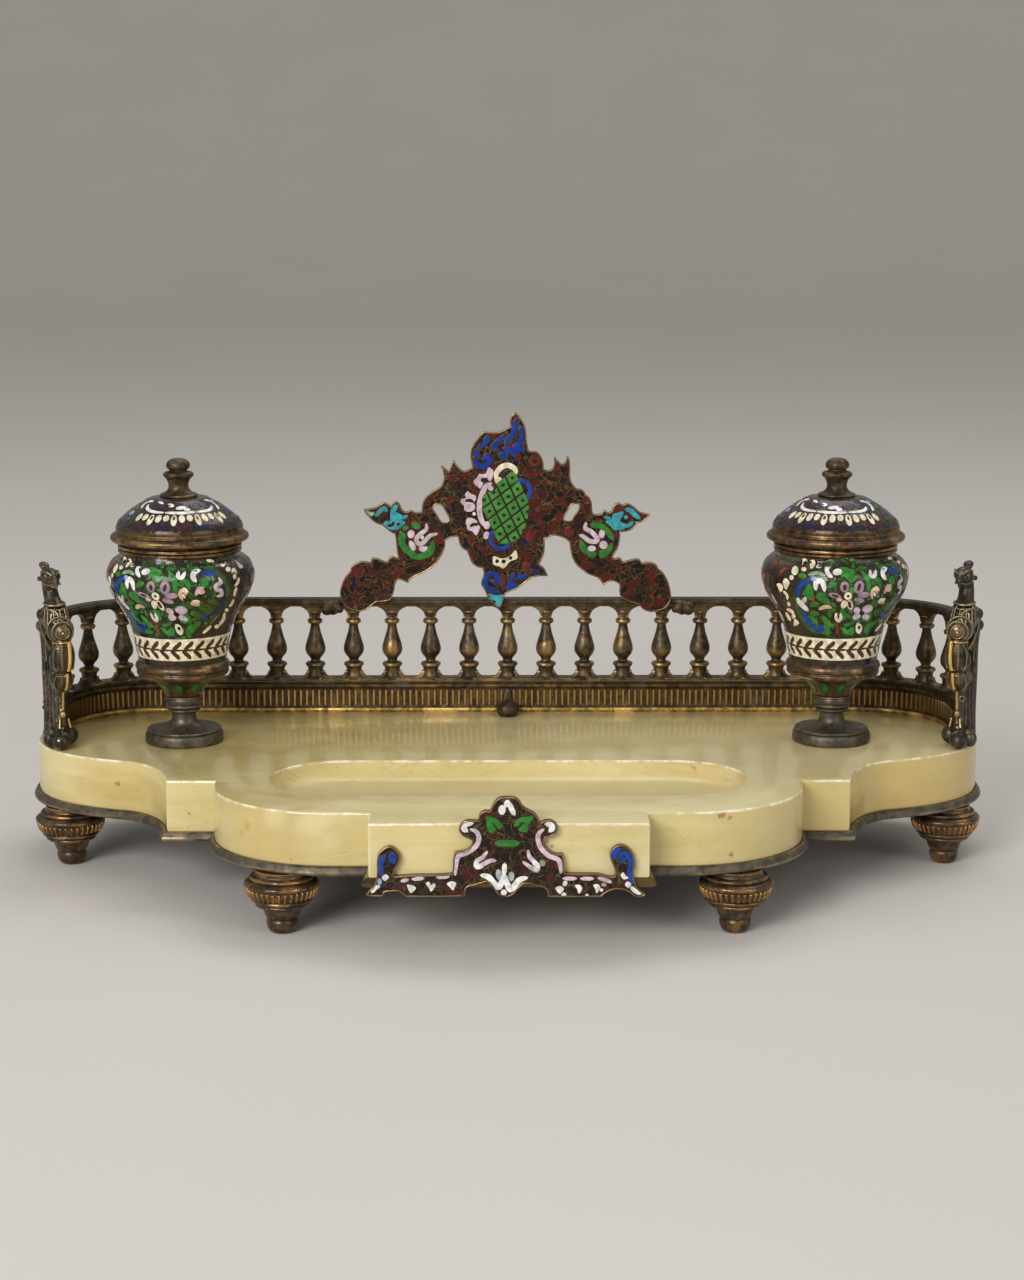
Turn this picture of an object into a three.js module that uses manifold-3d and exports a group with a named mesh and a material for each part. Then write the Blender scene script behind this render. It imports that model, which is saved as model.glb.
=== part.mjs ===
// Desk inkstand: an onyx plateau on a bronze tray and turned feet, with a balustrade gallery between
// two griffin terminals, an enamelled crest and front mount, and two enamelled urn inkwells.
// Millimetres, Z up, X to the right, front towards -Y. The origin lies on the desk, under the middle.

import * as THREE from 'three';
import { mergeVertices } from 'three/addons/utils/BufferGeometryUtils.js';
import Module from 'manifold-3d';

const wasm = await Module();
wasm.setup();

// Clearances and smoothness

const seatGap = 0.3;
const boreGap = 0.3;
const overrun = 2;
const weldTolerance = 1e-4;
const sides = { large: 16, medium: 12, small: 8, slender: 6 };
const curveSteps = 4;

// Driving sizes: an In is measured inward from the end of the plateau or of what the piece sits by, a
// Drop and a Depth towards the front, and a Setback towards the back from the edge in front

const plateau = {
  halfWidth: 201.4,
  depth: 204.5,
  thickness: 21.3,
  bevel: 0.8,
  backY: 62,
  cornerRadius: 46,
  lobeStartY: 4,
  lobePullIn: 2,
  lobePullDrop: 33,
  lobeEndIn: 44.4,
  lobeEndDrop: 46,
  ogeePullIn: 60.4,
  ogeePullDrop: 8,
  stepIn: 64.4,
  stepDrop: 33.5,
  stepWidth: 19.7,
  bellySide: 4.5,
  bellyFlat: 13.3,
  breakX: 53,
  breakDepth: 16,
};

const penTray = {
  endIn: 21.3,
  endRadius: 29.5,
  setback: 56,
  depth: 7.5,
  scoop: 9,
  endSteps: 6,
};
const scoopShares = [[0, 0], [0.12, 0.42], [0.38, 0.78], [1, 1]];

const tray = {
  floor: 3.1,
  lip: 0.9,
  lipWidth: 1.1,
  lipGap: 0.4,
  overhang: 2.4,
};

const foot = {
  height: 25,
  radius: 14.9,
  frontIn: 29.5,
  frontSetback: 10.5,
  sideIn: 16,
  sideDrop: 21,
  backIn: 45,
  backDrop: 22,
};

const spigot = {
  radius: 2,
  inPlateau: 11,
};

const gallery = {
  backIn: 6,
  endIn: 6,
  cornerSteps: 8,
  endRun: 9,
  endClear: 20.8,
  perSide: 12,
  baseHeight: 15,
  baseHalfDepth: 4.8,
  railZ: 48.3,
  railHeight: 3,
  railHalfDepth: 3.5,
  balusterRadius: 4.5,
  headHalfWidth: 6.4,
  headHeight: 3.8,
  headHalfDepth: 1.8,
};

const griffin = {
  height: 77,
  reach: 29,
  thickness: 6.4,
  bevel: 0.9,
  turn: 0.45,
  bossRadius: 5.4,
  bossThickness: 10.5,
  collarHalfWidth: 5.6,
  headRadius: 3.9,
  ballRadius: 3.1,
};

const bud = { radius: 5, height: 6.4, gap: 1.4, stemWidth: 3.4, stemDepth: 1.6, stemDrop: 4 };

const crest = { halfWidth: 73.4, height: 86.5, drop: 1.2, thickness: 2.6, slotTurn: 0.45 };

const clasp = { length: 9.5, radius: 3.2, drop: 2 };

const mount = { overhang: 0.4, height: 38.8, drop: 4, thickness: 2.4, pinRadius: 1.2, pinLength: 7 };

const urn = {
  endIn: 63.4,
  backDrop: 66,
  footRadius: 16.6,
  footHeight: 19.4,
  cupRadius: 20,
  cupHeight: 15.3,
  bodyRadius: 31.1,
  bodyHeight: 44.6,
  bodyWall: 1.8,
  bodyFloor: 2.2,
  mouthRadius: 19,
  ledge: 2.2,
  collarWall: 4.2,
  collarHeight: 3.2,
};

const pot = {
  wall: 2,
  floor: 2.5,
  sideGap: 2.7,
  mouthGap: 0.8,
  flangeGap: 0.6,
  flangeHeight: 1.2,
  standOff: 1.8,
};
const potShoulderShare = 0.35;

const lid = {
  rimRadius: 28.9,
  rimHeight: 7.2,
  spigotGap: 0.4,
  spigotWall: 2.2,
  spigotDepth: 1.6,
  domeRadius: 26.4,
  domeHeight: 13.7,
  domeWall: 1.7,
  finialRadius: 9.9,
  finialHeight: 15.7,
  pinRadius: 1.7,
  pinLength: 4,
};

const urnStud = { radius: 2, headRadius: 5, headHeight: 1.8, nutRadius: 4.2, nutHeight: 3 };

// Corners of the plateau's outline, worked from its end inward and from the end lobes forward

const lobeEndX = plateau.halfWidth - plateau.lobeEndIn;
const lobeEndY = plateau.lobeStartY - plateau.lobeEndDrop;
const stepOuterX = plateau.halfWidth - plateau.stepIn;
const stepInnerX = stepOuterX - plateau.stepWidth;
const stepY = lobeEndY - plateau.stepDrop;
const bellyStartY = stepY - plateau.bellySide;
const bellyRadiusX = stepInnerX - plateau.breakX - plateau.bellyFlat;
const breakY = plateau.backY - plateau.depth;
const bellyY = breakY + plateau.breakDepth;
const bellyDepth = bellyStartY - bellyY;
const backCornerX = plateau.halfWidth - plateau.cornerRadius;

// Heights of the seats: on the stand from the desk upward, and on an urn from the deck upward

const trayZ = foot.height + seatGap;
const plateauZ = trayZ + tray.floor + seatGap;
const deckZ = plateauZ + plateau.thickness;
const railZ = deckZ + gallery.railZ;
const balusterZ = deckZ + seatGap + gallery.baseHeight + seatGap;
const balusterHeight = railZ - seatGap - balusterZ;
const mountZ = trayZ - mount.drop;
const cupZ = seatGap + urn.footHeight + seatGap;
const bodyZ = cupZ + urn.cupHeight + seatGap;
const studHeadZ = bodyZ + urn.bodyFloor + seatGap;
const potZ = studHeadZ + urnStud.headHeight + pot.standOff;
const collarZ = bodyZ + urn.bodyHeight + seatGap;
const lidZ = collarZ + urn.collarHeight + seatGap;
const domeZ = lidZ + lid.rimHeight + seatGap;
const finialZ = domeZ + lid.domeHeight + seatGap;

// What passes through an urn's mouth: the pot's flange and the lid's spigot clear the collar's bore

const collarBore = urn.mouthRadius + urn.ledge;
const spigotRadius = collarBore - lid.spigotGap;

// Turned profiles as shares of the radius and of the height

const footShares = [
  [0, 0], [0.24, 0], [0.38, 0.1], [0.42, 0.19], [0.56, 0.38], [0.74, 0.44], [0.8, 0.56], [0.94, 0.63],
  [1, 0.75], [0.94, 0.85], [0.85, 0.88], [0.7, 0.96], [0.7, 1], [0, 1],
];
const balusterShares = [
  [0, 0], [0.98, 0], [0.74, 0.1], [0.97, 0.19], [0.46, 0.25], [0.98, 0.38], [0.72, 0.55], [0.4, 0.72],
  [0.74, 0.82], [0.52, 0.9], [0, 0.9],
];
const urnFootShares = [
  [0, 0], [1, 0], [0.97, 0.18], [0.9, 0.28], [0.67, 0.4], [0.42, 0.5], [0.29, 0.66], [0.37, 0.79],
  [0.29, 0.92], [0.34, 1], [0, 1],
];
const urnCupShares = [
  [0, 0], [0.4, 0], [0.42, 0.2], [0.68, 0.5], [0.88, 0.68], [0.95, 0.72], [1, 0.86], [0.94, 1], [0, 1],
];
const urnBodyShares = [
  [0.6, 0], [0.64, 0.25], [0.74, 0.42], [0.91, 0.62], [0.98, 0.72], [1, 0.82], [0.98, 0.91], [0.87, 1],
];
const rimShares = [[0.9, 0], [0.96, 0.12], [1, 0.5], [0.96, 0.86], [0.9, 1]];
const domeShares = [[1, 0], [0.98, 0.2], [0.88, 0.36], [0.7, 0.56], [0.5, 0.82], [0.37, 1]];
const finialShares = [
  [1, 0], [0.8, 0.06], [0.42, 0.25], [0.49, 0.45], [0.62, 0.56], [0.38, 0.7], [0.48, 0.83], [0.3, 0.96],
  [0, 1],
];
const budShares = [[0, 0], [0.8, 0], [1, 0.3], [0.86, 0.75], [0.45, 0.96], [0, 1]];
const claspShares = [
  [0, 0], [0.7, 0.1], [0.9, 0.25], [0.55, 0.42], [1, 0.62], [0.9, 0.85], [0.4, 1], [0, 1],
];

// Swept mouldings: across the gallery as shares of its half depth, and up as shares of its height

const baseShares = [
  [0.96, 0], [0.96, 0.13], [0.81, 0.17], [0.81, 0.68], [1, 0.72], [1, 0.8], [0.9, 0.84], [0.9, 1],
];
const railShares = [[0.8, 0], [1, 0.23], [1, 0.73], [0.74, 1]];

// Side view of a griffin: forward as shares of its reach, and up as shares of its height. The four
// places below it are the middles of the shoulder boss, the collar, the head and the scroll balls.

const griffinShares = [
  [[0.06, 0], [0.02, 0.2], [0.1, 0.4], [0, 0.6], [0.02, 0.68]],
  [[0.16, 0.72], [0.24, 0.78], [0.22, 0.88], [0.3, 0.95], [0.27, 1]],
  [[0.44, 1], [0.46, 0.95], [0.64, 0.92], [0.68, 0.88]],
  [[0.5, 0.87], [0.46, 0.79], [0.62, 0.72], [0.86, 0.64], [0.95, 0.54], [0.82, 0.42], [0.68, 0.32]],
  [[0.72, 0.2], [0.84, 0.1], [1, 0.06], [0.98, 0]],
  [[0.7, 0]],
  [[0.64, 0.07], [0.45, 0.13], [0.3, 0.08], [0.26, 0]],
];
const griffinPlaceShares = {
  boss: [0.68, 0.585],
  collar: [0.36, 0.74],
  head: [0.42, 0.9],
  ball: [0.84, 0.045],
};

// Crest outline: across as shares of its half width, and up as shares of its height. Each row is one
// smooth stretch between two points of the outline, and the arm serves both sides.

const crestArmShares = [
  [[0.222, 0.715], [0.26, 0.705], [0.31, 0.762]],
  [[0.334, 0.71], [0.376, 0.742]],
  [[0.37, 0.668], [0.398, 0.608], [0.485, 0.571], [0.5, 0.514], [0.556, 0.494], [0.62, 0.512]],
  [[0.652, 0.545]],
  [[0.692, 0.516], [0.73, 0.537], [0.78, 0.512], [0.85, 0.496]],
  [[0.78, 0.44], [0.7, 0.394], [0.656, 0.35], [0.644, 0.272]],
  [[0.71, 0.255], [0.8, 0.252], [0.91, 0.226], [0.98, 0.15], [1, 0.046], [0.93, -0.004], [0.85, -0.012]],
  [[0.79, 0.022], [0.682, 0.066], [0.672, 0.118], [0.64, 0.14], [0.587, 0.122]],
  [[0.5, 0.182], [0.42, 0.231], [0.376, 0.305], [0.366, 0.355]],
  [[0.3, 0.37], [0.26, 0.316], [0.222, 0.272]],
];
const crestTopShares = [
  [[-0.205, 0.75], [-0.205, 0.81], [-0.14, 0.888], [-0.05, 0.9], [0, 0.912], [0.026, 0.95], [0.057, 1]],
  [[0.112, 0.946], [0.122, 0.875], [0.142, 0.805], [0.19, 0.795], [0.215, 0.75]],
];
const crestFootShares = [
  [[0.188, 0.232], [0.25, 0.17]],
  [[0.16, 0.15], [0.08, 0.093], [0, 0.072], [-0.05, 0]],
  [[-0.1, 0.045], [-0.143, 0.115], [-0.138, 0.185], [-0.15, 0.212]],
];
const crestSlotShares = { middle: [0.392, 0.486], radii: [0.026, 0.042] };

// Half outline of the front mount: across as shares of its half width, and up as shares of its height

const mountShares = [
  [[0, 1], [0.08, 0.97], [0.125, 0.88], [0.165, 0.85]],
  [[0.2, 0.8], [0.222, 0.752], [0.28, 0.76], [0.336, 0.706], [0.31, 0.62], [0.245, 0.53]],
  [[0.3, 0.46], [0.374, 0.446], [0.385, 0.236]],
  [[0.48, 0.228], [0.6, 0.222], [0.79, 0.196]],
  [[0.755, 0.357], [0.772, 0.46], [0.83, 0.503], [0.9, 0.45], [0.918, 0.3], [0.928, 0.14], [1, 0.018]],
  [[0.87, 0.012], [0.79, 0.056], [0.725, 0.006]],
  [[0.302, 0.01]],
  [[0.28, 0.09], [0.2, 0.12], [0.13, 0.114], [0.08, 0.035], [0, 0]],
];
const mountPinShares = [0.318, 0.379];

// Solids from geometries, and meshes from solids

function signedVolume(geometry) {
  const position = geometry.getAttribute('position');
  const index = geometry.getIndex();
  const corner = (i) => new THREE.Vector3().fromBufferAttribute(position, index.getX(i));
  let volume = 0;
  for (let i = 0; i < index.count; i += 3) {
    volume += corner(i).dot(corner(i + 1).cross(corner(i + 2)));
  }
  return volume / 6;
}

function solidOf(source) {
  const geometry = source.clone();
  geometry.deleteAttribute('normal');
  geometry.deleteAttribute('uv');
  const welded = mergeVertices(geometry, weldTolerance);
  const corners = Array.from(welded.getIndex().array);
  const triVerts = [];
  for (let i = 0; i < corners.length; i += 3) {
    const [a, b, c] = corners.slice(i, i + 3);
    if (a !== b && b !== c && c !== a) {
      triVerts.push(a, b, c);
    }
  }
  welded.setIndex(triVerts);
  if (signedVolume(welded) < 0) {
    triVerts.reverse();
  }
  const vertProperties = new Float32Array(welded.getAttribute('position').array);
  return new wasm.Manifold(new wasm.Mesh({
    numProp: 3,
    vertProperties,
    triVerts: new Uint32Array(triVerts),
  }));
}

function joined(first, ...others) {
  return others.reduce((sum, other) => sum.add(other), first);
}

function cut(first, ...others) {
  return others.reduce((rest, other) => rest.subtract(other), first);
}

function meshOf(name, solid, look) {
  const { vertProperties, triVerts } = solid.getMesh();
  const geometry = new THREE.BufferGeometry();
  geometry.setAttribute('position', new THREE.BufferAttribute(new Float32Array(vertProperties), 3));
  geometry.setIndex(new THREE.BufferAttribute(new Uint32Array(triVerts), 1));
  geometry.computeVertexNormals();
  const mesh = new THREE.Mesh(geometry, new THREE.MeshStandardMaterial(look));
  mesh.name = name;
  return mesh;
}

// Form makers

// A body turned about Z from [radius, height] pairs
function turned(profile, count, z = 0) {
  const points = profile.map(([radius, height]) => new THREE.Vector2(radius, height));
  return solidOf(new THREE.LatheGeometry(points, count).rotateX(Math.PI / 2).translate(0, 0, z));
}

function scaled(shares, width, height) {
  return shares.map(([across, up]) => [across * width, up * height]);
}

function rod(radius, bottom, top, count) {
  return turned([[0, bottom], [radius, bottom], [radius, top], [0, top]], count);
}

// The faces that close a ring of points, wound like the ring
function capFaces(contour) {
  const turn = Math.sign(THREE.ShapeUtils.area(contour));
  return THREE.ShapeUtils.triangulateShape(contour, []).map((face) => {
    const same = Math.sign(THREE.ShapeUtils.area(face.map((i) => contour[i]))) === turn;
    return same ? face : [...face].reverse();
  });
}

// A body lofted through rings of equal count; flat(ring) gives the plane view that closes its ends
function lofted(rings, flat) {
  const count = rings[0].length;
  const last = (rings.length - 1) * count;
  const index = [];
  for (let start = 0; start < last; start += count) {
    for (let i = 0; i < count; i++) {
      const next = (i + 1) % count;
      index.push(start + i, start + next, start + count + next);
      index.push(start + i, start + count + next, start + count + i);
    }
  }
  for (const [a, b, c] of capFaces(flat(rings[0]))) {
    index.push(c, b, a);
  }
  for (const face of capFaces(flat(rings[rings.length - 1]))) {
    index.push(...face.map((i) => last + i));
  }
  const geometry = new THREE.BufferGeometry().setFromPoints(rings.flat());
  geometry.setIndex(index);
  return solidOf(geometry);
}

const planView = (ring) => ring.map(({ x, y }) => new THREE.Vector2(x, y));

// Rows of outline points, each row smooth in itself and joined to the next by its ends
function outlineThrough(rows, steps) {
  const points = [];
  rows.forEach((row, i) => {
    const before = points.length ? [points[points.length - 1]] : [];
    const knots = [...before, ...row.map(([x, y]) => new THREE.Vector2(x, y))];
    const line = new THREE.SplineCurve(knots).getPoints(Math.max(1, steps * (knots.length - 1)));
    points.push(...(i ? line.slice(1) : line));
  });
  return points;
}

function scaledRows(rows, width, height) {
  return rows.map((row) => scaled(row, width, height));
}

// The same rows drawn from their other end, on the other side of the middle
function mirroredRows(rows) {
  const points = rows.flat().map(([x, y]) => [-x, y]).reverse();
  const lengths = rows.map((row) => row.length).reverse();
  let start = 0;
  return lengths.map((length) => {
    start += length;
    return points.slice(start - length, start);
  });
}

// A plate that stands upright across X, with its back on Y = 0 and its front towards -Y
function uprightPlate(outline, thickness, holes = []) {
  const shape = new THREE.Shape(outline);
  shape.holes.push(...holes);
  const flat = new THREE.ExtrudeGeometry(shape, {
    depth: thickness,
    bevelEnabled: false,
    curveSegments: curveSteps,
  });
  return solidOf(flat.rotateX(Math.PI / 2));
}

// The plateau's outline, from the middle of the back round the right side to the middle of the front

function plateauHalf() {
  const p = plateau;
  const path = new THREE.Path();
  path.moveTo(0, p.backY);
  path.lineTo(backCornerX, p.backY);
  path.absarc(backCornerX, p.backY - p.cornerRadius, p.cornerRadius, Math.PI / 2, 0, true);
  path.lineTo(p.halfWidth, p.lobeStartY);
  path.quadraticCurveTo(p.halfWidth - p.lobePullIn, p.lobeStartY - p.lobePullDrop, lobeEndX, lobeEndY);
  path.quadraticCurveTo(p.halfWidth - p.ogeePullIn, lobeEndY - p.ogeePullDrop, stepOuterX, stepY);
  path.lineTo(stepInnerX, stepY);
  path.lineTo(stepInnerX, bellyStartY);
  path.absellipse(stepInnerX - bellyRadiusX, bellyStartY, bellyRadiusX, bellyDepth, 0, -Math.PI / 2, true);
  path.lineTo(p.breakX, bellyY);
  path.lineTo(p.breakX, breakY);
  path.lineTo(0, breakY);
  return path.getPoints(curveSteps);
}

function plateauOutline() {
  const right = plateauHalf();
  const left = right.slice(1, -1).map(({ x, y }) => new THREE.Vector2(-x, y));
  const clockwise = [...right, ...left.reverse()];
  const near = (a, b) => a.distanceTo(b) < weldTolerance;
  return clockwise.reverse().filter((point, i, all) => !near(point, all[(i + 1) % all.length]));
}

// An outline moved outward by a distance, with mitred corners
function offsetOutline(outline, distance) {
  return outline.map((point, i) => {
    const before = outline[(i + outline.length - 1) % outline.length];
    const after = outline[(i + 1) % outline.length];
    const inward = point.clone().sub(before).normalize();
    const onward = after.clone().sub(point).normalize();
    const first = new THREE.Vector2(inward.y, -inward.x);
    const second = new THREE.Vector2(onward.y, -onward.x);
    const mitre = first.clone().add(second).divideScalar(1 + first.dot(second));
    return point.clone().addScaledVector(mitre, distance);
  });
}

const level = (outline, z) => outline.map(({ x, y }) => new THREE.Vector3(x, y, z));

function footPlaces() {
  const places = {};
  const frontX = stepInnerX - foot.frontIn;
  const sideX = plateau.halfWidth - foot.sideIn;
  const backX = backCornerX - foot.backIn;
  for (const [side, sign] of [['left', -1], ['right', 1]]) {
    places[`foot_front_${side}`] = [sign * frontX, bellyY + foot.frontSetback];
    places[`foot_side_${side}`] = [sign * sideX, plateau.lobeStartY - foot.sideDrop];
    places[`foot_back_${side}`] = [sign * backX, plateau.backY - foot.backDrop];
  }
  return places;
}

function boresAt(places, radius, bottom, top) {
  return places.map(([x, y]) => rod(radius, bottom, top, sides.slender).translate([x, y, 0]));
}

const urnX = plateau.halfWidth - urn.endIn;
const urnY = plateau.backY - urn.backDrop;
const urnPlaces = [[-urnX, urnY], [urnX, urnY]];

// Plateau and tray

function penTrayCutter() {
  const straight = stepInnerX - penTray.endIn - penTray.endRadius;
  const ring = (inset, z) => {
    const path = new THREE.Path();
    path.absarc(straight, 0, penTray.endRadius - inset, -Math.PI / 2, Math.PI / 2, false);
    path.absarc(-straight, 0, penTray.endRadius - inset, Math.PI / 2, 3 * Math.PI / 2, false);
    return path.getPoints(penTray.endSteps / 2).map(({ x, y }) => new THREE.Vector3(x, y, z));
  };
  const rings = scoopShares.map(([inset, depth]) => ring(inset * penTray.scoop, -depth * penTray.depth));
  return lofted([ring(0, overrun), ...rings], planView);
}

function makePlateau() {
  const outline = plateauOutline();
  const slab = lofted([
    level(outline, 0),
    level(outline, plateau.thickness - plateau.bevel),
    level(offsetOutline(outline, -plateau.bevel), plateau.thickness),
  ], planView);
  const recess = penTrayCutter().translate([0, bellyY + penTray.setback, plateau.thickness]);
  const footBoreTop = spigot.inPlateau + boreGap;
  const footBores = boresAt(Object.values(footPlaces()), spigot.radius + boreGap, -overrun, footBoreTop);
  const urnBores = boresAt(urnPlaces, urnStud.radius + boreGap, -overrun, plateau.thickness + overrun);
  const pinBores = mountPins(mount.pinRadius + boreGap, mount.pinLength + boreGap)
    .map((bore) => bore.translate([0, breakY, mountZ - plateauZ]));
  return cut(slab, recess, ...footBores, ...urnBores, ...pinBores);
}

function makeTray() {
  const outline = plateauOutline();
  const ring = (distance, z) => level(offsetOutline(outline, distance), z);
  const lipTop = tray.floor + seatGap + tray.lip;
  const plate = lofted([
    ring(tray.overhang / 2, 0),
    ring(tray.overhang, tray.floor / 2),
    ring(tray.lipGap + tray.lipWidth, lipTop),
    ring(tray.lipGap, lipTop),
    ring(tray.lipGap, tray.floor),
  ], planView);
  const landing = solidOf(new THREE.BoxGeometry(
    2 * (plateau.breakX + tray.overhang + overrun),
    2 * (tray.overhang + overrun),
    2 * (lipTop + overrun),
  ).translate(0, breakY - tray.overhang - overrun, 0));
  const places = [...Object.values(footPlaces()), ...urnPlaces];
  const bores = boresAt(places, spigot.radius + boreGap, -overrun, tray.floor + overrun);
  return cut(plate, landing, ...bores);
}

// A turned foot with the threaded spigot that screws up through the tray into the onyx
function makeFoot() {
  const toupie = turned(scaled(footShares, foot.radius, foot.height), sides.medium);
  const thread = rod(spigot.radius, foot.height / 2, plateauZ + spigot.inPlateau, sides.small);
  return joined(toupie, thread);
}

// Gallery: its centre line runs straight along the back, round each corner and forward to a griffin

const galleryY = plateau.backY - gallery.backIn;
const galleryRadius = plateau.cornerRadius - gallery.endIn;
const galleryCorner = galleryRadius * Math.PI / 2;
const galleryHalf = backCornerX + galleryCorner + gallery.endRun;
const balusterPitch = (galleryHalf - gallery.endClear) / gallery.perSide;

// The place and heading at a distance along the centre line from the middle of the back
function galleryPlace(distance) {
  const side = Math.sign(distance) || 1;
  const along = Math.abs(distance);
  const bend = THREE.MathUtils.clamp((along - backCornerX) / galleryRadius, 0, Math.PI / 2);
  const end = Math.max(0, along - backCornerX - galleryCorner);
  const x = Math.min(along, backCornerX) + galleryRadius * Math.sin(bend);
  const y = galleryY - galleryRadius + galleryRadius * Math.cos(bend) - end;
  return { x: side * x, y, bend: side * bend };
}

function galleryStations() {
  const side = [];
  for (let i = 0; i <= gallery.cornerSteps; i++) {
    side.push(backCornerX + galleryCorner * i / gallery.cornerSteps);
  }
  side.push(galleryHalf);
  return [...side.map((distance) => -distance).reverse(), ...side];
}

// A moulding with a symmetrical section, swept along the gallery
function galleryMoulding(shares, halfDepth, height) {
  const right = scaled(shares, halfDepth, height);
  const section = [...right, ...right.map(([across, up]) => [-across, up]).reverse()];
  const rings = galleryStations().map((distance) => {
    const { x, y, bend } = galleryPlace(distance);
    return section.map(([across, up]) => new THREE.Vector3(
      x + across * Math.sin(bend),
      y + across * Math.cos(bend),
      up,
    ));
  });
  return lofted(rings, () => section.map(([across, up]) => new THREE.Vector2(across, up)));
}

// The spandrel head on which the rail lies, hollowed to the half arches of the openings beside it
function makeBaluster() {
  const shaft = turned(scaled(balusterShares, gallery.balusterRadius, balusterHeight), sides.slender);
  const neck = gallery.balusterRadius / 2;
  const shape = new THREE.Shape();
  const low = balusterHeight - gallery.headHeight;
  shape.moveTo(neck, low);
  shape.quadraticCurveTo(neck, balusterHeight, gallery.headHalfWidth, balusterHeight);
  shape.lineTo(-gallery.headHalfWidth, balusterHeight);
  shape.quadraticCurveTo(-neck, balusterHeight, -neck, low);
  const depth = 2 * gallery.headHalfDepth;
  const head = new THREE.ExtrudeGeometry(shape, { depth, bevelEnabled: false, curveSegments: curveSteps });
  return joined(shaft, solidOf(head.rotateX(Math.PI / 2).translate(0, gallery.headHalfDepth, 0)));
}

function makeBud() {
  const reach = bud.radius + bud.gap;
  const low = bud.height / 2;
  const top = gallery.baseHeight - bud.stemDrop;
  const knob = turned(scaled(budShares, bud.radius, bud.height), sides.medium).translate([0, -reach, 0]);
  const stem = solidOf(new THREE.BoxGeometry(bud.stemWidth, bud.stemDepth, top - low)
    .translate(0, -bud.stemDepth / 2, (top + low) / 2));
  const neck = solidOf(new THREE.BoxGeometry(bud.stemWidth, reach, low).translate(0, -reach / 2, low));
  return joined(knob, stem, neck);
}

// Griffin: a bevelled side view with a shoulder boss, a scaled collar, a head and scroll balls

function makeGriffin() {
  const { reach, height, thickness, bevel } = griffin;
  const outline = outlineThrough(scaledRows(griffinShares, reach, height), 2);
  const flat = new THREE.ExtrudeGeometry(new THREE.Shape(outline), {
    depth: thickness - 2 * bevel,
    bevelEnabled: true,
    bevelThickness: bevel,
    bevelSize: bevel,
    bevelOffset: -bevel,
    bevelSegments: 1,
  });
  flat.translate(0, 0, bevel - thickness / 2).rotateX(Math.PI / 2).rotateZ(-Math.PI / 2);
  const places = griffinPlaceShares;
  const ball = (radius, forward, up) => solidOf(
    new THREE.SphereGeometry(radius, sides.small, sides.small / 2)
      .translate(0, -forward * reach, up * height),
  );
  const boss = rod(griffin.bossRadius, -griffin.bossThickness / 2, griffin.bossThickness / 2, sides.medium)
    .rotate([0, 90, 0])
    .translate([0, -places.boss[0] * reach, places.boss[1] * height]);
  const collar = ball(griffin.collarHalfWidth, ...places.collar);
  const head = ball(griffin.headRadius, ...places.head);
  const claws = [-1, 1].map((side) => ball(griffin.ballRadius, ...places.ball)
    .translate([side * griffin.ballRadius, side * griffin.ballRadius / 2, 0]));
  return joined(solidOf(flat), boss, collar, head, ...claws);
}

// Crest and front mount

function makeCrest() {
  const { halfWidth, height } = crest;
  const arm = scaledRows(crestArmShares, halfWidth, height);
  const rows = [
    ...scaledRows(crestTopShares, halfWidth, height),
    ...arm,
    ...scaledRows(crestFootShares, halfWidth, height),
    ...mirroredRows(arm),
  ];
  const [[slotX, slotZ], [slotRadiusX, slotRadiusZ]] = scaled(
    [crestSlotShares.middle, crestSlotShares.radii],
    halfWidth,
    height,
  );
  const slots = [-1, 1].map((side) => new THREE.Path().absellipse(
    side * slotX,
    slotZ,
    slotRadiusX,
    slotRadiusZ,
    0,
    2 * Math.PI,
    false,
    -side * crest.slotTurn,
  ));
  return uprightPlate(outlineThrough(rows, 2), crest.thickness, slots);
}

function makeClasp() {
  const knot = turned(scaled(claspShares, clasp.radius, clasp.length), sides.small);
  return knot.rotate([0, 90, 0]);
}

const mountHalfWidth = plateau.breakX + mount.overhang;

// The mount's two pins, or the bores for them, from inside the plate back into the onyx
function mountPins(radius, length) {
  return [-1, 1].map((side) => rod(radius, -mount.thickness / 2, length, sides.slender)
    .rotate([-90, 0, 0])
    .translate([side * mountPinShares[0] * mountHalfWidth, 0, mountPinShares[1] * mount.height]));
}

function makeMount() {
  const right = outlineThrough(scaledRows(mountShares, mountHalfWidth, mount.height), 2);
  const left = right.slice(1, -1).map(({ x, y }) => new THREE.Vector2(-x, y)).reverse();
  return joined(
    uprightPlate([...right, ...left], mount.thickness),
    ...mountPins(mount.pinRadius, mount.pinLength),
  );
}

// Urn inkwell

function urnBore() {
  return rod(urnStud.radius + boreGap, -overrun, urn.bodyHeight, sides.slender);
}

function makeUrnFoot() {
  return cut(turned(scaled(urnFootShares, urn.footRadius, urn.footHeight), sides.large), urnBore());
}

function makeUrnCup() {
  return cut(turned(scaled(urnCupShares, urn.cupRadius, urn.cupHeight), sides.large), urnBore());
}

function makeUrnBody() {
  const skin = scaled(urnBodyShares, urn.bodyRadius, urn.bodyHeight);
  const rise = skin.filter(([, z]) => z > urn.bodyFloor && z < urn.bodyHeight);
  const hollow = [
    [0, urn.bodyFloor],
    [skin[0][0] - urn.bodyWall, urn.bodyFloor],
    ...rise.map(([radius, z]) => [radius - urn.bodyWall, z]),
    [urn.mouthRadius, urn.bodyHeight - urn.bodyWall],
    [urn.mouthRadius, urn.bodyHeight + overrun],
    [0, urn.bodyHeight + overrun],
  ];
  const shell = turned([[0, 0], ...skin, [0, urn.bodyHeight]], sides.large);
  return cut(shell, turned(hollow, sides.large), urnBore());
}

function makeCollar() {
  const ring = rod(collarBore + urn.collarWall, 0, urn.collarHeight, sides.large);
  return cut(ring, rod(collarBore, -overrun, urn.collarHeight + overrun, sides.large));
}

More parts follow.
